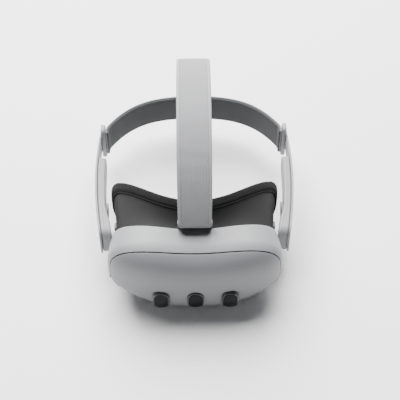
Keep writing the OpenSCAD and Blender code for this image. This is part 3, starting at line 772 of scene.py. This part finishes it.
def build_sensors():
    rim, sharp = 0.95 * MM, 50
    for name, (low, high) in window_boxes().items():
        bezel = crowned_pill(low, high, rim, 0.8 * MM, low.y + 0.35 * MM, low.y + 12 * MM,
                             name + "_sensor_bezel", "bezel", hollow=rim - 0.02 * MM)
        stand_for(settle(bezel, sharp), "visor", "bezel", "sensor_bezels")
        glass = crowned_pill(low, high, -0.04 * MM, 0.35 * MM, low.y, low.y + 1.5 * MM,
                             name + "_sensor_glass", "window")
        stand_for(settle(glass, sharp), "visor", "window", name + "_sensor_window")


# ---- face interface

class Face:
    """Outline of the part that meets the face, with an arch for the nose."""

    SQUARE = 2.8
    WRAP, WRAP_SPAN = 40 * MM, 150 * MM
    NOSE_W, NOSE_RISE = 17 * MM, 30 * MM

    def __init__(self):
        self.half_w = CUSHION_HIGH.x
        self.middle = self.rise = CUSHION_HIGH.z / 2
        self.drop = self.rise + 3 * MM
        self.back = CUSHION_HIGH.y - self.wrapped(self.half_w)

    def wrapped(self, x):
        """How far back the outline turns at a distance from the middle."""
        return self.WRAP * (1 - math.cos(math.pi * abs(x) / self.WRAP_SPAN))

    def rear(self, x):
        return self.back + self.wrapped(x)

    def nose(self, x, angle, amount):
        if math.sin(angle) >= 0:
            return 0.0
        return amount * math.exp(-(x / self.NOSE_W) ** 2) * math.sin(angle) ** 2

    def squared(self, angle, half_w, half_h):
        """A point of a rounded square round the outline's middle."""
        power = 2 / self.SQUARE
        z = self.middle + half_h * signed_power(math.sin(angle), power)
        return half_w * signed_power(math.cos(angle), power), z

    def outline(self, angle, inset, floor=0.0):
        half_h = (self.rise if math.sin(angle) >= 0 else self.drop) - inset
        x, z = self.squared(angle, self.half_w - inset, half_h)
        return x, max(floor, z + self.nose(x, angle, self.NOSE_RISE))

    def angle_at(self, point):
        """The angle at which a point lies."""
        x = max(-1.0, min(1.0, point.x / self.half_w))
        z = (point.z - self.middle) / self.rise
        across = abs(x) ** (self.SQUARE / 2)
        upright = min(1.0, abs(z)) ** (self.SQUARE / 2)
        return math.atan2(math.copysign(upright, z), math.copysign(across, x))


def build_interface_wall():
    """The flared wall between the visor and the cushion."""
    face = Face()
    columns = 240
    wall, depth, nose_rise = 2 * MM, 13.4 * MM, 10 * MM
    front_y, half_w, half_h = FRONT_Y + 36.4 * MM, 71.4 * MM, 32.6 * MM
    rear_inset, lowest = 3.5 * MM, 1.2 * MM
    steps = arc_steps(16, 0, 1)
    path = [(t, 0.0) for t in steps] + [(t, wall) for t in reversed(steps)]

    def place(column, ring):
        t, inset = path[ring]
        angle = around(column + 0.5, columns)
        x0, z0 = face.squared(angle, half_w - inset, half_h - inset)
        z0 += face.nose(x0, angle, nose_rise)
        x1, z1 = face.outline(angle, rear_inset + inset)
        flare = t ** 2.2
        y = mix(front_y, face.rear(x1) - depth, t)
        return mix(x0, x1, flare), y, max(inset + lowest, mix(z0, z1, flare))

    form = loft(columns, len(path), place, closed=True)
    made = settle(piece("interface_wall", form, "panel"), 60)
    return stand_for(made, "face_interface", "interface", "interface_frame")


def build_interface_rails():
    """Four round rails that carry the interface in the visor."""
    width = 5 * MM
    for index, x in enumerate((-62 * MM, 62 * MM)):
        for level, z in enumerate((27 * MM, 68 * MM)):
            form = prism(rounded_outline(x, z, width, width, width / 2), 1,
                         FRONT_Y + 25 * MM, FRONT_Y + 38 * MM)
            rail = rounded_piece(f"interface_rail_{index}_{level}", form, "dark", 0.5 * MM, sharp=38)
            stand_for(rail, "face_interface", "interface")


def swell(made, pressure, voxel, most, frames=20):
    """Fills out a closed soft form by cloth simulation; no point moves further than most."""
    even = made.modifiers.new("even", "REMESH")
    even.mode = "VOXEL"
    even.voxel_size = voxel
    settle(made, 180)
    rest = [v.co.copy() for v in made.data.vertices]
    cloth = made.modifiers.new("cloth", "CLOTH")
    cloth.settings.quality = 6
    cloth.settings.mass = 0.2
    cloth.settings.tension_stiffness = 18
    cloth.settings.compression_stiffness = 18
    cloth.settings.use_pressure = True
    cloth.settings.uniform_pressure_force = pressure
    cloth.settings.effector_weights.gravity = 0
    cloth.point_cache.frame_start = 1
    cloth.point_cache.frame_end = frames
    scene = bpy.context.scene
    for moment in range(1, frames + 1):
        scene.frame_set(moment)
    graph = bpy.context.evaluated_depsgraph_get()
    swollen = [v.co.copy() for v in made.evaluated_get(graph).data.vertices]
    made.modifiers.clear()
    scene.frame_set(1)
    for vert, start, end in zip(made.data.vertices, rest, swollen):
        move = end - start
        if move.length > most:
            move *= most / move.length
        vert.co = start + move
    return made


def sew(form, face, depth):
    """Pulls in a sewn line round the cushion's outer side, at a depth in front of its rear."""
    width, pull, reach = 0.9 * MM, 0.75 * MM, 2.5 * MM
    for vert in form.verts:
        spot = vert.co
        x, z = face.outline(face.angle_at(spot), 0)
        inset = (Vector((x, z)) - Vector((spot.x, spot.z))).length
        from_line = spot.y - face.rear(spot.x) + depth
        away = math.hypot(from_line / width, max(0.0, inset - reach) / MM)
        vert.co -= vert.normal * (pull * math.exp(-away ** 2))
        vert.co.z = max(vert.co.z, 0.0)
        vert.co.x = max(-face.half_w, min(face.half_w, vert.co.x))


def build_cushion(shape):
    face = Face()
    columns, rings = 200, 28
    pad, lowest = 13.0 * MM, 0.4 * MM

    def place(column, ring):
        f = around(ring, rings)
        inset = pad / 2 * (1 - signed_power(math.cos(f), 0.8))
        x, z = face.outline(around(column + 0.5, columns), inset, lowest)
        return x, face.rear(x) - pad / 2 * (1 - signed_power(math.sin(f), 0.8)), z

    cushion = piece("face_cushion_pad", loft(columns, rings, place, closed=True), "cushion")
    swell(cushion, shape.cushion_swell, 2.2 * MM, 1.0 * MM)
    form = bmesh.new()
    form.from_mesh(cushion.data)
    for _ in range(4):
        bmesh.ops.smooth_vert(form, verts=form.verts, factor=0.5,
                              use_axis_x=True, use_axis_y=True, use_axis_z=True)
    sew(form, face, 0.62 * pad)
    form.to_mesh(cushion.data)
    form.free()
    finer = cushion.modifiers.new("finer", "SUBSURF")
    finer.levels = finer.render_levels = 1
    settle(cushion, 180)
    return stand_for(cushion, "face_interface", "cushion", "face_cushion")


def build_piping():
    """Thin welt where the cushion meets the flared wall."""
    face = Face()
    columns, rings = 260, 8
    radius, inset, depth = 0.7 * MM, 3.0 * MM, 13.2 * MM

    def place(column, ring):
        f = around(ring, rings)
        x, z = face.outline(around(column + 0.5, columns), inset + radius * math.cos(f), 1.5 * MM)
        return x, face.rear(x) - depth + radius * math.sin(f), z

    welt = piece("cushion_welt", loft(columns, rings, place, closed=True), "thread")
    return stand_for(settle(welt, 180), "face_interface", "cushion")


# ---- head strap

def circles_at(*rows):
    """Circles from their depth behind the visor's front, height and radius, in millimetres."""
    return [(FRONT_Y + depth * MM, height * MM, radius * MM) for depth, height, radius in rows]


def hull_heights(y, circles):
    """Lowest and highest point at a depth of the outline drawn tightly round circles of (y, z, radius)."""
    low, high = 1e9, -1e9
    for first in circles:
        for second in circles:
            for k in range(41):
                t = k / 40
                cy, cz, r = (mix(a, b, t) for a, b in zip(first, second))
                if abs(y - cy) <= r:
                    half = math.sqrt(r * r - (y - cy) ** 2)
                    low, high = min(low, cz - half), max(high, cz + half)
    return low, high


def grooved_section(width, height, radius, grooves, steps=6):
    """Points round an arm's section, with fine grooves along its top and bottom."""
    radius = min(radius, width / 2 - 1e-6, height / 2 - 1e-6)
    flat = width / 2 - radius
    depth = min(0.55 * MM, radius / 2)
    shoulders = ((-0.28, 0), (-0.1, depth), (0.1, depth), (0.28, 0))
    points = []
    for quarter, (sx, sz) in enumerate(((1, 1), (-1, 1), (-1, -1), (1, -1))):
        points += [(sx * flat + radius * math.cos(a), sz * (height / 2 - radius) + radius * math.sin(a))
                   for a in arc_steps(steps, quarter * math.pi / 2, (quarter + 1) * math.pi / 2)]
        if quarter % 2 == 0:
            points += [(-sz * flat * (groove + shift), sz * (height / 2 - cut))
                       for groove in grooves for shift, cut in shoulders]
    return points


def arm_outside(y):
    """X of the arms' outer face at a depth."""
    return ARM_OUTER_X - (y - ARM_WIDEST_Y) ** 2 / (2 * ARM_CURVE)


def smooth_step(t):
    t = max(0.0, min(1.0, t))
    return t * t * (3 - 2 * t)


def arm_solid(name, side, circles, inner, outer, radius, grooves, finish, front_extra=0.0):
    """A long arm between two distances in from the arms' outer curve."""
    first = min(c[0] - c[2] for c in circles)
    last = max(c[0] + c[2] for c in circles)
    stations = 72
    spots = [mix(first, last, (1 - math.cos(a)) / 2) for a in arc_steps(stations, 0, math.pi)]
    columns = len(grooved_section(inner - outer, 20 * MM, radius, grooves))

    def place(column, ring):
        y = spots[ring]
        low, high = hull_heights(min(max(y, first + 1e-6), last - 1e-6), circles)
        margin = min(y - first, last - y)
        inset = 0.0
        if margin < radius:
            inset = radius - math.sqrt(max(0.0, radius ** 2 - (radius - margin) ** 2))
        deep = inner + front_extra * smooth_step((FRONT_Y + 86 * MM - y) / (24 * MM))
        height = max(high - low - 1.2 * inset, 0.2 * MM)
        section = grooved_section(deep - outer - 1.4 * inset, height, radius, grooves)
        across, up = section[column]
        x = arm_outside(y) - (deep + outer) / 2 + across
        return side * x, y, (low + high) / 2 + up

    form = loft(columns, stations, place, capped=True)
    return settle(piece(name, form, finish), 32)


def build_arms(shape):
    core = circles_at((58.5, 38, 8), (58.5, 54, 8), (140, 42.5, 13))
    skin = circles_at((58, 37, 8.5), (58, 55, 8.5), (140, 42.5, 14), (181, 40.5, 9))
    for name, side in SIDES.items():
        arm = arm_solid(name + "_arm_core", side, core, 9.2 * MM, 2.15 * MM, shape.arm_round,
                        (-0.5, 0.5), "arm", 2.4 * MM)
        middle, size = middle_and_size(name + "_speaker_grille")
        across = size.y + 0.3 * MM
        pocket = rounded_outline(middle.y, middle.z, across, across, across / 2, 14)
        cut_away(arm, [side_prism(pocket, side, 76 * MM, 88 * MM)])
        stand_for(arm, "head_strap", "arm", name + "_arm")
        band = arm_solid(name + "_arm_skin", side, skin, 2.0 * MM, 0.0, 0.95 * MM, (), "arm")
        stand_for(band, "head_strap", "arm", name + "_arm_band")


def build_buckles():
    slot_w, slot_h, slot_shift = 2.4 * MM, 33 * MM, 2.8 * MM
    for name in SIDES:
        low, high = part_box(name + "_buckle")
        middle = (low + high) / 2
        loop = prism(rounded_outline(middle.y, middle.z, high.y - low.y, high.z - low.z, 4.5 * MM),
                     0, low.x, high.x)
        buckle = piece(name + "_buckle_loop", loop, "arm")
        cut_away(buckle, [prism(rounded_outline(middle.y + shift, middle.z, slot_w, slot_h, 1.1 * MM), 0,
                                low.x - MM, high.x + MM) for shift in (-slot_shift, slot_shift)])
        settle(soften(buckle, 1.0 * MM, 4, 40), 45)
        stand_for(buckle, "head_strap", "arm", name + "_buckle")


def band_sag(x):
    """How far the rear band comes forward at a distance from its middle."""
    mm = abs(x) / MM
    return (0.002185 * mm ** 2 + 4.76e-7 * mm ** 4) * MM


def rear_band_path():
    """Points along the rear band's middle, seen from above, with its two end tabs."""
    half = BAND_HIGH.x - 1.5 * MM
    back = BAND_HIGH.y - 1.5 * MM
    tab = BAND_LOW.y
    bend = back - band_sag(half)
    points = [Vector((-half, mix(tab, bend - 2 * MM, k / 5))) for k in range(6)]
    points += [Vector((x, back - band_sag(x))) for x in arc_steps(121, -half + 1.2 * MM, half - 1.2 * MM)]
    points += [Vector((half, mix(bend - 2 * MM, tab, k / 5))) for k in range(6)]
    return points


def run_lengths(path):
    """The length of a path up to each of its points."""
    lengths = [0.0]
    for first, second in zip(path, path[1:]):
        lengths.append(lengths[-1] + (second - first).length)
    return lengths


def beside(path, ring):
    """The direction square to a flat path at one of its points."""
    along = (path[min(len(path) - 1, ring + 1)] - path[max(0, ring - 1)]).normalized()
    return Vector((-along.y, along.x))


def filled(section, axis, reach, count):
    """A section with points added along its sides that are longer than a reach."""
    dense = []
    for first, second in zip(section, section[1:] + section[:1]):
        dense.append(first)
        if abs(second[axis] - first[axis]) > reach:
            dense += [(mix(first[0], second[0], k / count), mix(first[1], second[1], k / count))
                      for k in range(1, count)]
    return dense


def ribbon(name, path, depth_in, depth_out, low, high, finish):
    """A strap standing on edge along a path seen from above, between two offsets from it."""
    thickness, height, middle = depth_out - depth_in, high - low, (low + high) / 2
    outline = rounded_outline((depth_in + depth_out) / 2, middle, thickness, height, thickness * 0.48, 5)
    section = filled(outline, 1, height / 2, 12)
    lengths = run_lengths(path)

    def place(column, ring):
        offset, z = section[column]
        spot = path[ring] + beside(path, ring) * offset
        return spot.x, spot.y, z

    def unwrap(column, ring):
        return section[column][1] - middle, lengths[ring]

    form = loft(len(section), len(path), place, capped=True, unwrap=unwrap)
    return settle(piece(name, form, finish), 60)


def build_rear_band():
    path = rear_band_path()
    half = 1.45 * MM
    low, high = BAND_LOW.z, BAND_HIGH.z
    outer = ribbon("rear_band_elastic", path, 0.0, half, low, high, "band")
    # A dark sheet along the band's inner face that paints the shade there.
    painted_shade_sheet = ribbon("rear_band_painted_shade_sheet", path, -half, -0.02 * MM, low + 0.5 * MM, high - 0.9 * MM, "painted_shade_sheet")
    for made in (outer, painted_shade_sheet):
        stand_for(made, "head_strap", "band", "rear_band")


def strap_path():
    """Centre line of the overhead strap in depth and height, from the front fold to the rear slider."""
    centre = Vector((FRONT_Y + 128.1 * MM, 68.1 * MM))
    radius = 96.6 * MM
    bar = Vector((FRONT_Y + 38 * MM, 94.2 * MM))
    loop = 3.0 * MM
    fold = [bar + Vector((math.cos(a), math.sin(a))) * loop
            for a in arc_steps(24, math.radians(130), math.radians(400))]
    join = math.radians(180) - math.asin((bar.y + 2 * MM - centre.y) / radius)
    end = math.asin((SLIDER_HIGH.z - 4 * MM - centre.y) / radius)
    arch = [centre + Vector((math.cos(a), math.sin(a))) * radius for a in arc_steps(150, join, end)]
    return fold, arch


def build_overhead_strap(shape):
    fold, arch = strap_path()
    half_w = (STRAP_HIGH.x - STRAP_LOW.x) / 2
    thickness, crown, narrowing = 2.5 * MM, 0.35 * MM, 60 * MM
    section = filled(rounded_outline(0, 0, 2 * half_w, thickness, thickness * 0.45, 5), 0, half_w, 14)
    lengths = run_lengths(arch)

    def place(column, ring):
        across, rise = section[column]
        near_fold = max(0.0, 1 - lengths[ring] / narrowing)
        spot = arch[ring] + beside(arch, ring) * (rise - crown * (across / half_w) ** 2)
        return across * (1 - shape.strap_narrow / half_w * near_fold ** 2), spot.x, spot.y

    def unwrap(column, ring):
        return section[column][0], lengths[ring]

    form = loft(len(section), len(arch), place, capped=True, unwrap=unwrap)
    strap = settle(piece("overhead_strap_elastic", form, "strap"), 60)
    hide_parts("overhead_strap")
    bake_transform(strap)
    build_strap_fold(fold, half_w - shape.strap_narrow - MM)
    return strap


def build_strap_fold(fold, half_w):
    """Front end of the strap, turned round the anchor's bar and sewn back on itself."""
    thickness, step = 2.2 * MM, 0.8 * MM
    section = rounded_outline(0, 0, 2 * half_w, thickness, thickness * 0.45, 5)

    def place(column, ring):
        across, rise = section[column]
        spot = fold[ring] + beside(fold, ring) * rise
        return across, spot.x, spot.y

    def unwrap(column, ring):
        return section[column][0], ring * step

    form = loft(len(section), len(fold), place, capped=True, unwrap=unwrap)
    turned = settle(piece("overhead_strap_fold", form, "strap"), 60)
    return stand_for(turned, "visor", "strap", "overhead_strap")


def build_slider():
    """The clip that holds the overhead strap's rear end on the rear band."""
    low, high = SLIDER_LOW, SLIDER_HIGH
    outline = rounded_outline(0, (low.z + high.z) / 2, high.x - low.x, high.z - low.z, 3.5 * MM)
    slider = piece("rear_slider_clip", prism(outline, 1, low.y, high.y), "arm")
    band_slot = prism(rounded_outline(0, low.z + 3 * MM, 40 * MM, 8 * MM, 0.2 * MM), 1,
                      BAND_HIGH.y - 3.2 * MM, BAND_HIGH.y + 0.2 * MM)
    strap_w = 2 * (STRAP_HIGH.x + 0.4 * MM)
    strap_slot = prism(rounded_outline(0, high.z, strap_w, 14 * MM, 0.3 * MM), 1,
                       low.y + 0.9 * MM, low.y + 4.4 * MM)
    cut_away(slider, [band_slot, strap_slot])
    settle(soften(slider, 0.8 * MM, 3, 40), 45)
    return stand_for(slider, "head_strap", "arm", "rear_slider")


# ---- temples, controls, inside

def build_temples():
    """Plates behind the shell's rim, each with the axle and the nub that its arm turns on."""
    circles = circles_at((50.2, 36.5, 1), (50.2, 54.5, 1), (57, 45, 7.8))
    first, last = FRONT_Y + 49.2 * MM, FRONT_Y + 64.8 * MM
    spots = arc_steps(40, first, last - 0.05 * MM)
    heights = [hull_heights(max(y, first + 0.4 * MM), circles) for y in spots]
    outline = [(y, high) for y, (_, high) in zip(spots, heights)]
    outline += [(y, low) for y, (low, _) in zip(spots, heights)][::-1]
    for name, side in SIDES.items():
        across = side * math.pi / 2
        plate = side_prism(outline, side, 72.7 * MM, 75 * MM)
        axle = plug((side * 78.4 * MM, PIVOT_Y, PIVOT_Z), across, 5.9 * MM, 7 * MM)
        nub = plug((side * 75.5 * MM, PIVOT_Y, PIVOT_Z), across, 8 * MM, 1.2 * MM, 7.2 * MM)
        for made in (rounded_piece(name + "_temple_plate", plate, "temple", 0.7 * MM, 3, 60),
                     settle(piece(name + "_pivot_axle", axle, "temple"), 45),
                     rounded_piece(name + "_pivot_nub", nub, "temple", 0.4 * MM)):
            stand_for(made, "visor", "temple", name + "_temple")


def build_release_buttons():
    cap_w, depth = 8 * MM, 6.3 * MM
    for name, side in SIDES.items():
        middle, size = middle_and_size(name + "_release_button")
        outer = abs(middle.x) + size.x / 2
        outline = rounded_outline(middle.y, middle.z, cap_w, cap_w, 2 * MM)
        cap = side_prism(outline, side, outer - depth, outer)
        button = rounded_piece(name + "_release_cap", cap, "release", 0.8 * MM, 3, 50)
        stand_for(button, name + "_release", "release", name + "_release_button")


# CAD nodes that keep their own shape, by finish
CARRIED = {
    "dark": ("tracking_cameras", "depth_projector", "fan_housing", "fan_rotor", "lens_panel", "spacing_wheel",
             "left_lens_barrel", "right_lens_barrel", "rocker_bracket", "audio_socket",
             "left_speaker", "right_speaker"),
    "window": ("side_cameras", "proximity_sensor"),
    "battery": ("battery_pack",),
    "board": ("main_board",),
    "alloy": ("heat_sink", "chassis_frame"),
    "steel": ("chassis_screws", "lens_guide_rod", "spacing_screw", "usb_inlet"),
    "gold": ("charging_contacts",),
    "light": ("status_light",),
    "lens": ("left_lens", "right_lens"),
    "display": ("left_display", "right_display"),
    "arm": ("power_button", "volume_rocker", "left_speaker_grille", "right_speaker_grille"),
    "shell": ("strap_anchor",),
}


# ---- stage

def build_stage(stage):
    form = bmesh.new()
    bmesh.ops.create_grid(form, x_segments=1, y_segments=1, size=6)
    piece("floor", form, "floor")
    world = bpy.context.scene.world or bpy.data.worlds.new("room")
    bpy.context.scene.world = world
    world.use_nodes = True
    background = world.node_tree.nodes["Background"]
    background.inputs[0].default_value = (0.93, 0.95, 1.0, 1)
    background.inputs[1].default_value = stage.room
    area_light("overhead_light", (-0.2, 1.0, 1.55), (0, 0.08, 0.05), 1.9, stage.key)
    area_light("front_light", (-0.7, -1.1, 0.9), (0, 0, 0.05), 1.0, stage.fill)
    add_camera(stage)


def look_along(data, name, spot, direction):
    """An object for a light or camera at a spot, facing along a direction."""
    made = bpy.data.objects.new(name, data)
    bpy.context.scene.collection.objects.link(made)
    made.location = spot
    made.rotation_mode = "QUATERNION"
    made.rotation_quaternion = direction.to_track_quat("-Z", "Y")
    return made


def area_light(name, spot, target, size, power):
    lamp = bpy.data.lights.new(name, "AREA")
    lamp.shape = "SQUARE"
    lamp.size = size
    lamp.energy = power
    return look_along(lamp, name, spot, Vector(target) - Vector(spot))


def add_camera(stage):
    """Camera above and in front, aimed a little over the visor."""
    rise, turn = stage.elevation, stage.azimuth
    aside, level = 5.0 * MM, 108 * MM
    target = Vector((aside, FRONT_Y + level * math.sin(rise), level * math.cos(rise)))
    back = Vector((math.sin(turn) * math.cos(rise), -math.cos(turn) * math.cos(rise), math.sin(rise)))
    lens = bpy.data.cameras.new("camera")
    lens.lens = stage.lens
    lens.sensor_width = 36
    lens.clip_start, lens.clip_end = 0.02, 30
    bpy.context.scene.camera = look_along(lens, "camera", target + back * stage.distance, -back)


# ---- operators

class HEADSET_OT_stage(bpy.types.Operator):
    """Adds the camera, the lights and the floor"""

    bl_idname = "headset.stage"
    bl_label = "Stage"

    def execute(self, context):
        made = Finish("pale_floor", (0.92, 0.92, 0.92), 0.7)
        made.tint(made.noise(made.place(), 3.0), 0.985)
        FINISHES["floor"] = made.material
        build_stage(context.scene.headset_stage)
        return {"FINISHED"}


class HEADSET_OT_finishes(bpy.types.Operator):
    """Makes the finishes and gives them to the parts that keep their own shape"""

    bl_idname = "headset.finishes"
    bl_label = "Finishes"

    def execute(self, context):
        FINISHES.update(build_finishes(context.scene.headset_finishes))
        for finish, nodes in CARRIED.items():
            dress(finish, nodes)
        return {"FINISHED"}


class HEADSET_OT_visor(bpy.types.Operator):
    """Builds the front cover and the main shell"""

    bl_idname = "headset.visor"
    bl_label = "Visor"

    def execute(self, context):
        build_front_cover(context.scene.headset_shape)
        build_main_shell(context.scene.headset_shape)
        return {"FINISHED"}


class HEADSET_OT_sensors(bpy.types.Operator):
    """Builds the three sensor windows and their bezels"""

    bl_idname = "headset.sensors"
    bl_label = "Sensor Windows"

    def execute(self, context):
        build_sensors()
        return {"FINISHED"}


class HEADSET_OT_interface(bpy.types.Operator):
    """Builds the flared wall, its rails, the face cushion, its welt and the release buttons"""

    bl_idname = "headset.interface"
    bl_label = "Face Interface"

    def execute(self, context):
        build_interface_wall()
        build_interface_rails()
        build_cushion(context.scene.headset_shape)
        build_piping()
        build_release_buttons()
        return {"FINISHED"}


class HEADSET_OT_arms(bpy.types.Operator):
    """Builds the side arms, the temples that carry them and the buckles"""

    bl_idname = "headset.arms"
    bl_label = "Arms and Buckles"

    def execute(self, context):
        build_temples()
        build_arms(context.scene.headset_shape)
        build_buckles()
        return {"FINISHED"}


class HEADSET_OT_straps(bpy.types.Operator):
    """Builds the rear band, the overhead strap and its fittings"""

    bl_idname = "headset.straps"
    bl_label = "Straps"

    def execute(self, context):
        build_rear_band()
        build_overhead_strap(context.scene.headset_shape)
        build_slider()
        return {"FINISHED"}


class HEADSET_PT_build(bpy.types.Panel):
    """Lists the steps and their settings"""

    bl_idname = "HEADSET_PT_build"
    bl_label = "Headset"
    bl_space_type = "VIEW_3D"
    bl_region_type = "UI"
    bl_category = "Headset"

    def draw(self, context):
        for group, step_names in PANEL_ROWS:
            box = self.layout.box()
            settings = getattr(context.scene, group)
            for name in settings.bl_rna.properties.keys():
                if name not in ("rna_type", "name"):
                    box.prop(settings, name)
            for step_name in step_names:
                box.operator(step_name)


SHAPE_STEPS = ("headset.visor", "headset.sensors", "headset.interface", "headset.arms", "headset.straps")
STEPS = ("headset.finishes", "headset.stage") + SHAPE_STEPS
PANEL_ROWS = (
    ("headset_stage", ("headset.stage",)),
    ("headset_finishes", ("headset.finishes",)),
    ("headset_shape", SHAPE_STEPS),
)
CLASSES = (
    HeadsetShape, HeadsetFinishes, HeadsetStage, HEADSET_OT_stage, HEADSET_OT_finishes, HEADSET_OT_visor,
    HEADSET_OT_sensors, HEADSET_OT_interface, HEADSET_OT_arms, HEADSET_OT_straps, HEADSET_PT_build,
)


def register():
    for cls in CLASSES:
        bpy.utils.register_class(cls)
    bpy.types.Scene.headset_shape = bpy.props.PointerProperty(type=HeadsetShape)
    bpy.types.Scene.headset_finishes = bpy.props.PointerProperty(type=HeadsetFinishes)
    bpy.types.Scene.headset_stage = bpy.props.PointerProperty(type=HeadsetStage)


def unregister():
    del bpy.types.Scene.headset_stage
    del bpy.types.Scene.headset_finishes
    del bpy.types.Scene.headset_shape
    for cls in reversed(CLASSES):
        bpy.utils.unregister_class(cls)


def main():
    register()
    for name in STEPS:
        group, step_name = name.split(".")
        getattr(getattr(bpy.ops, group), step_name)()


if __name__ == "__main__":
    main()
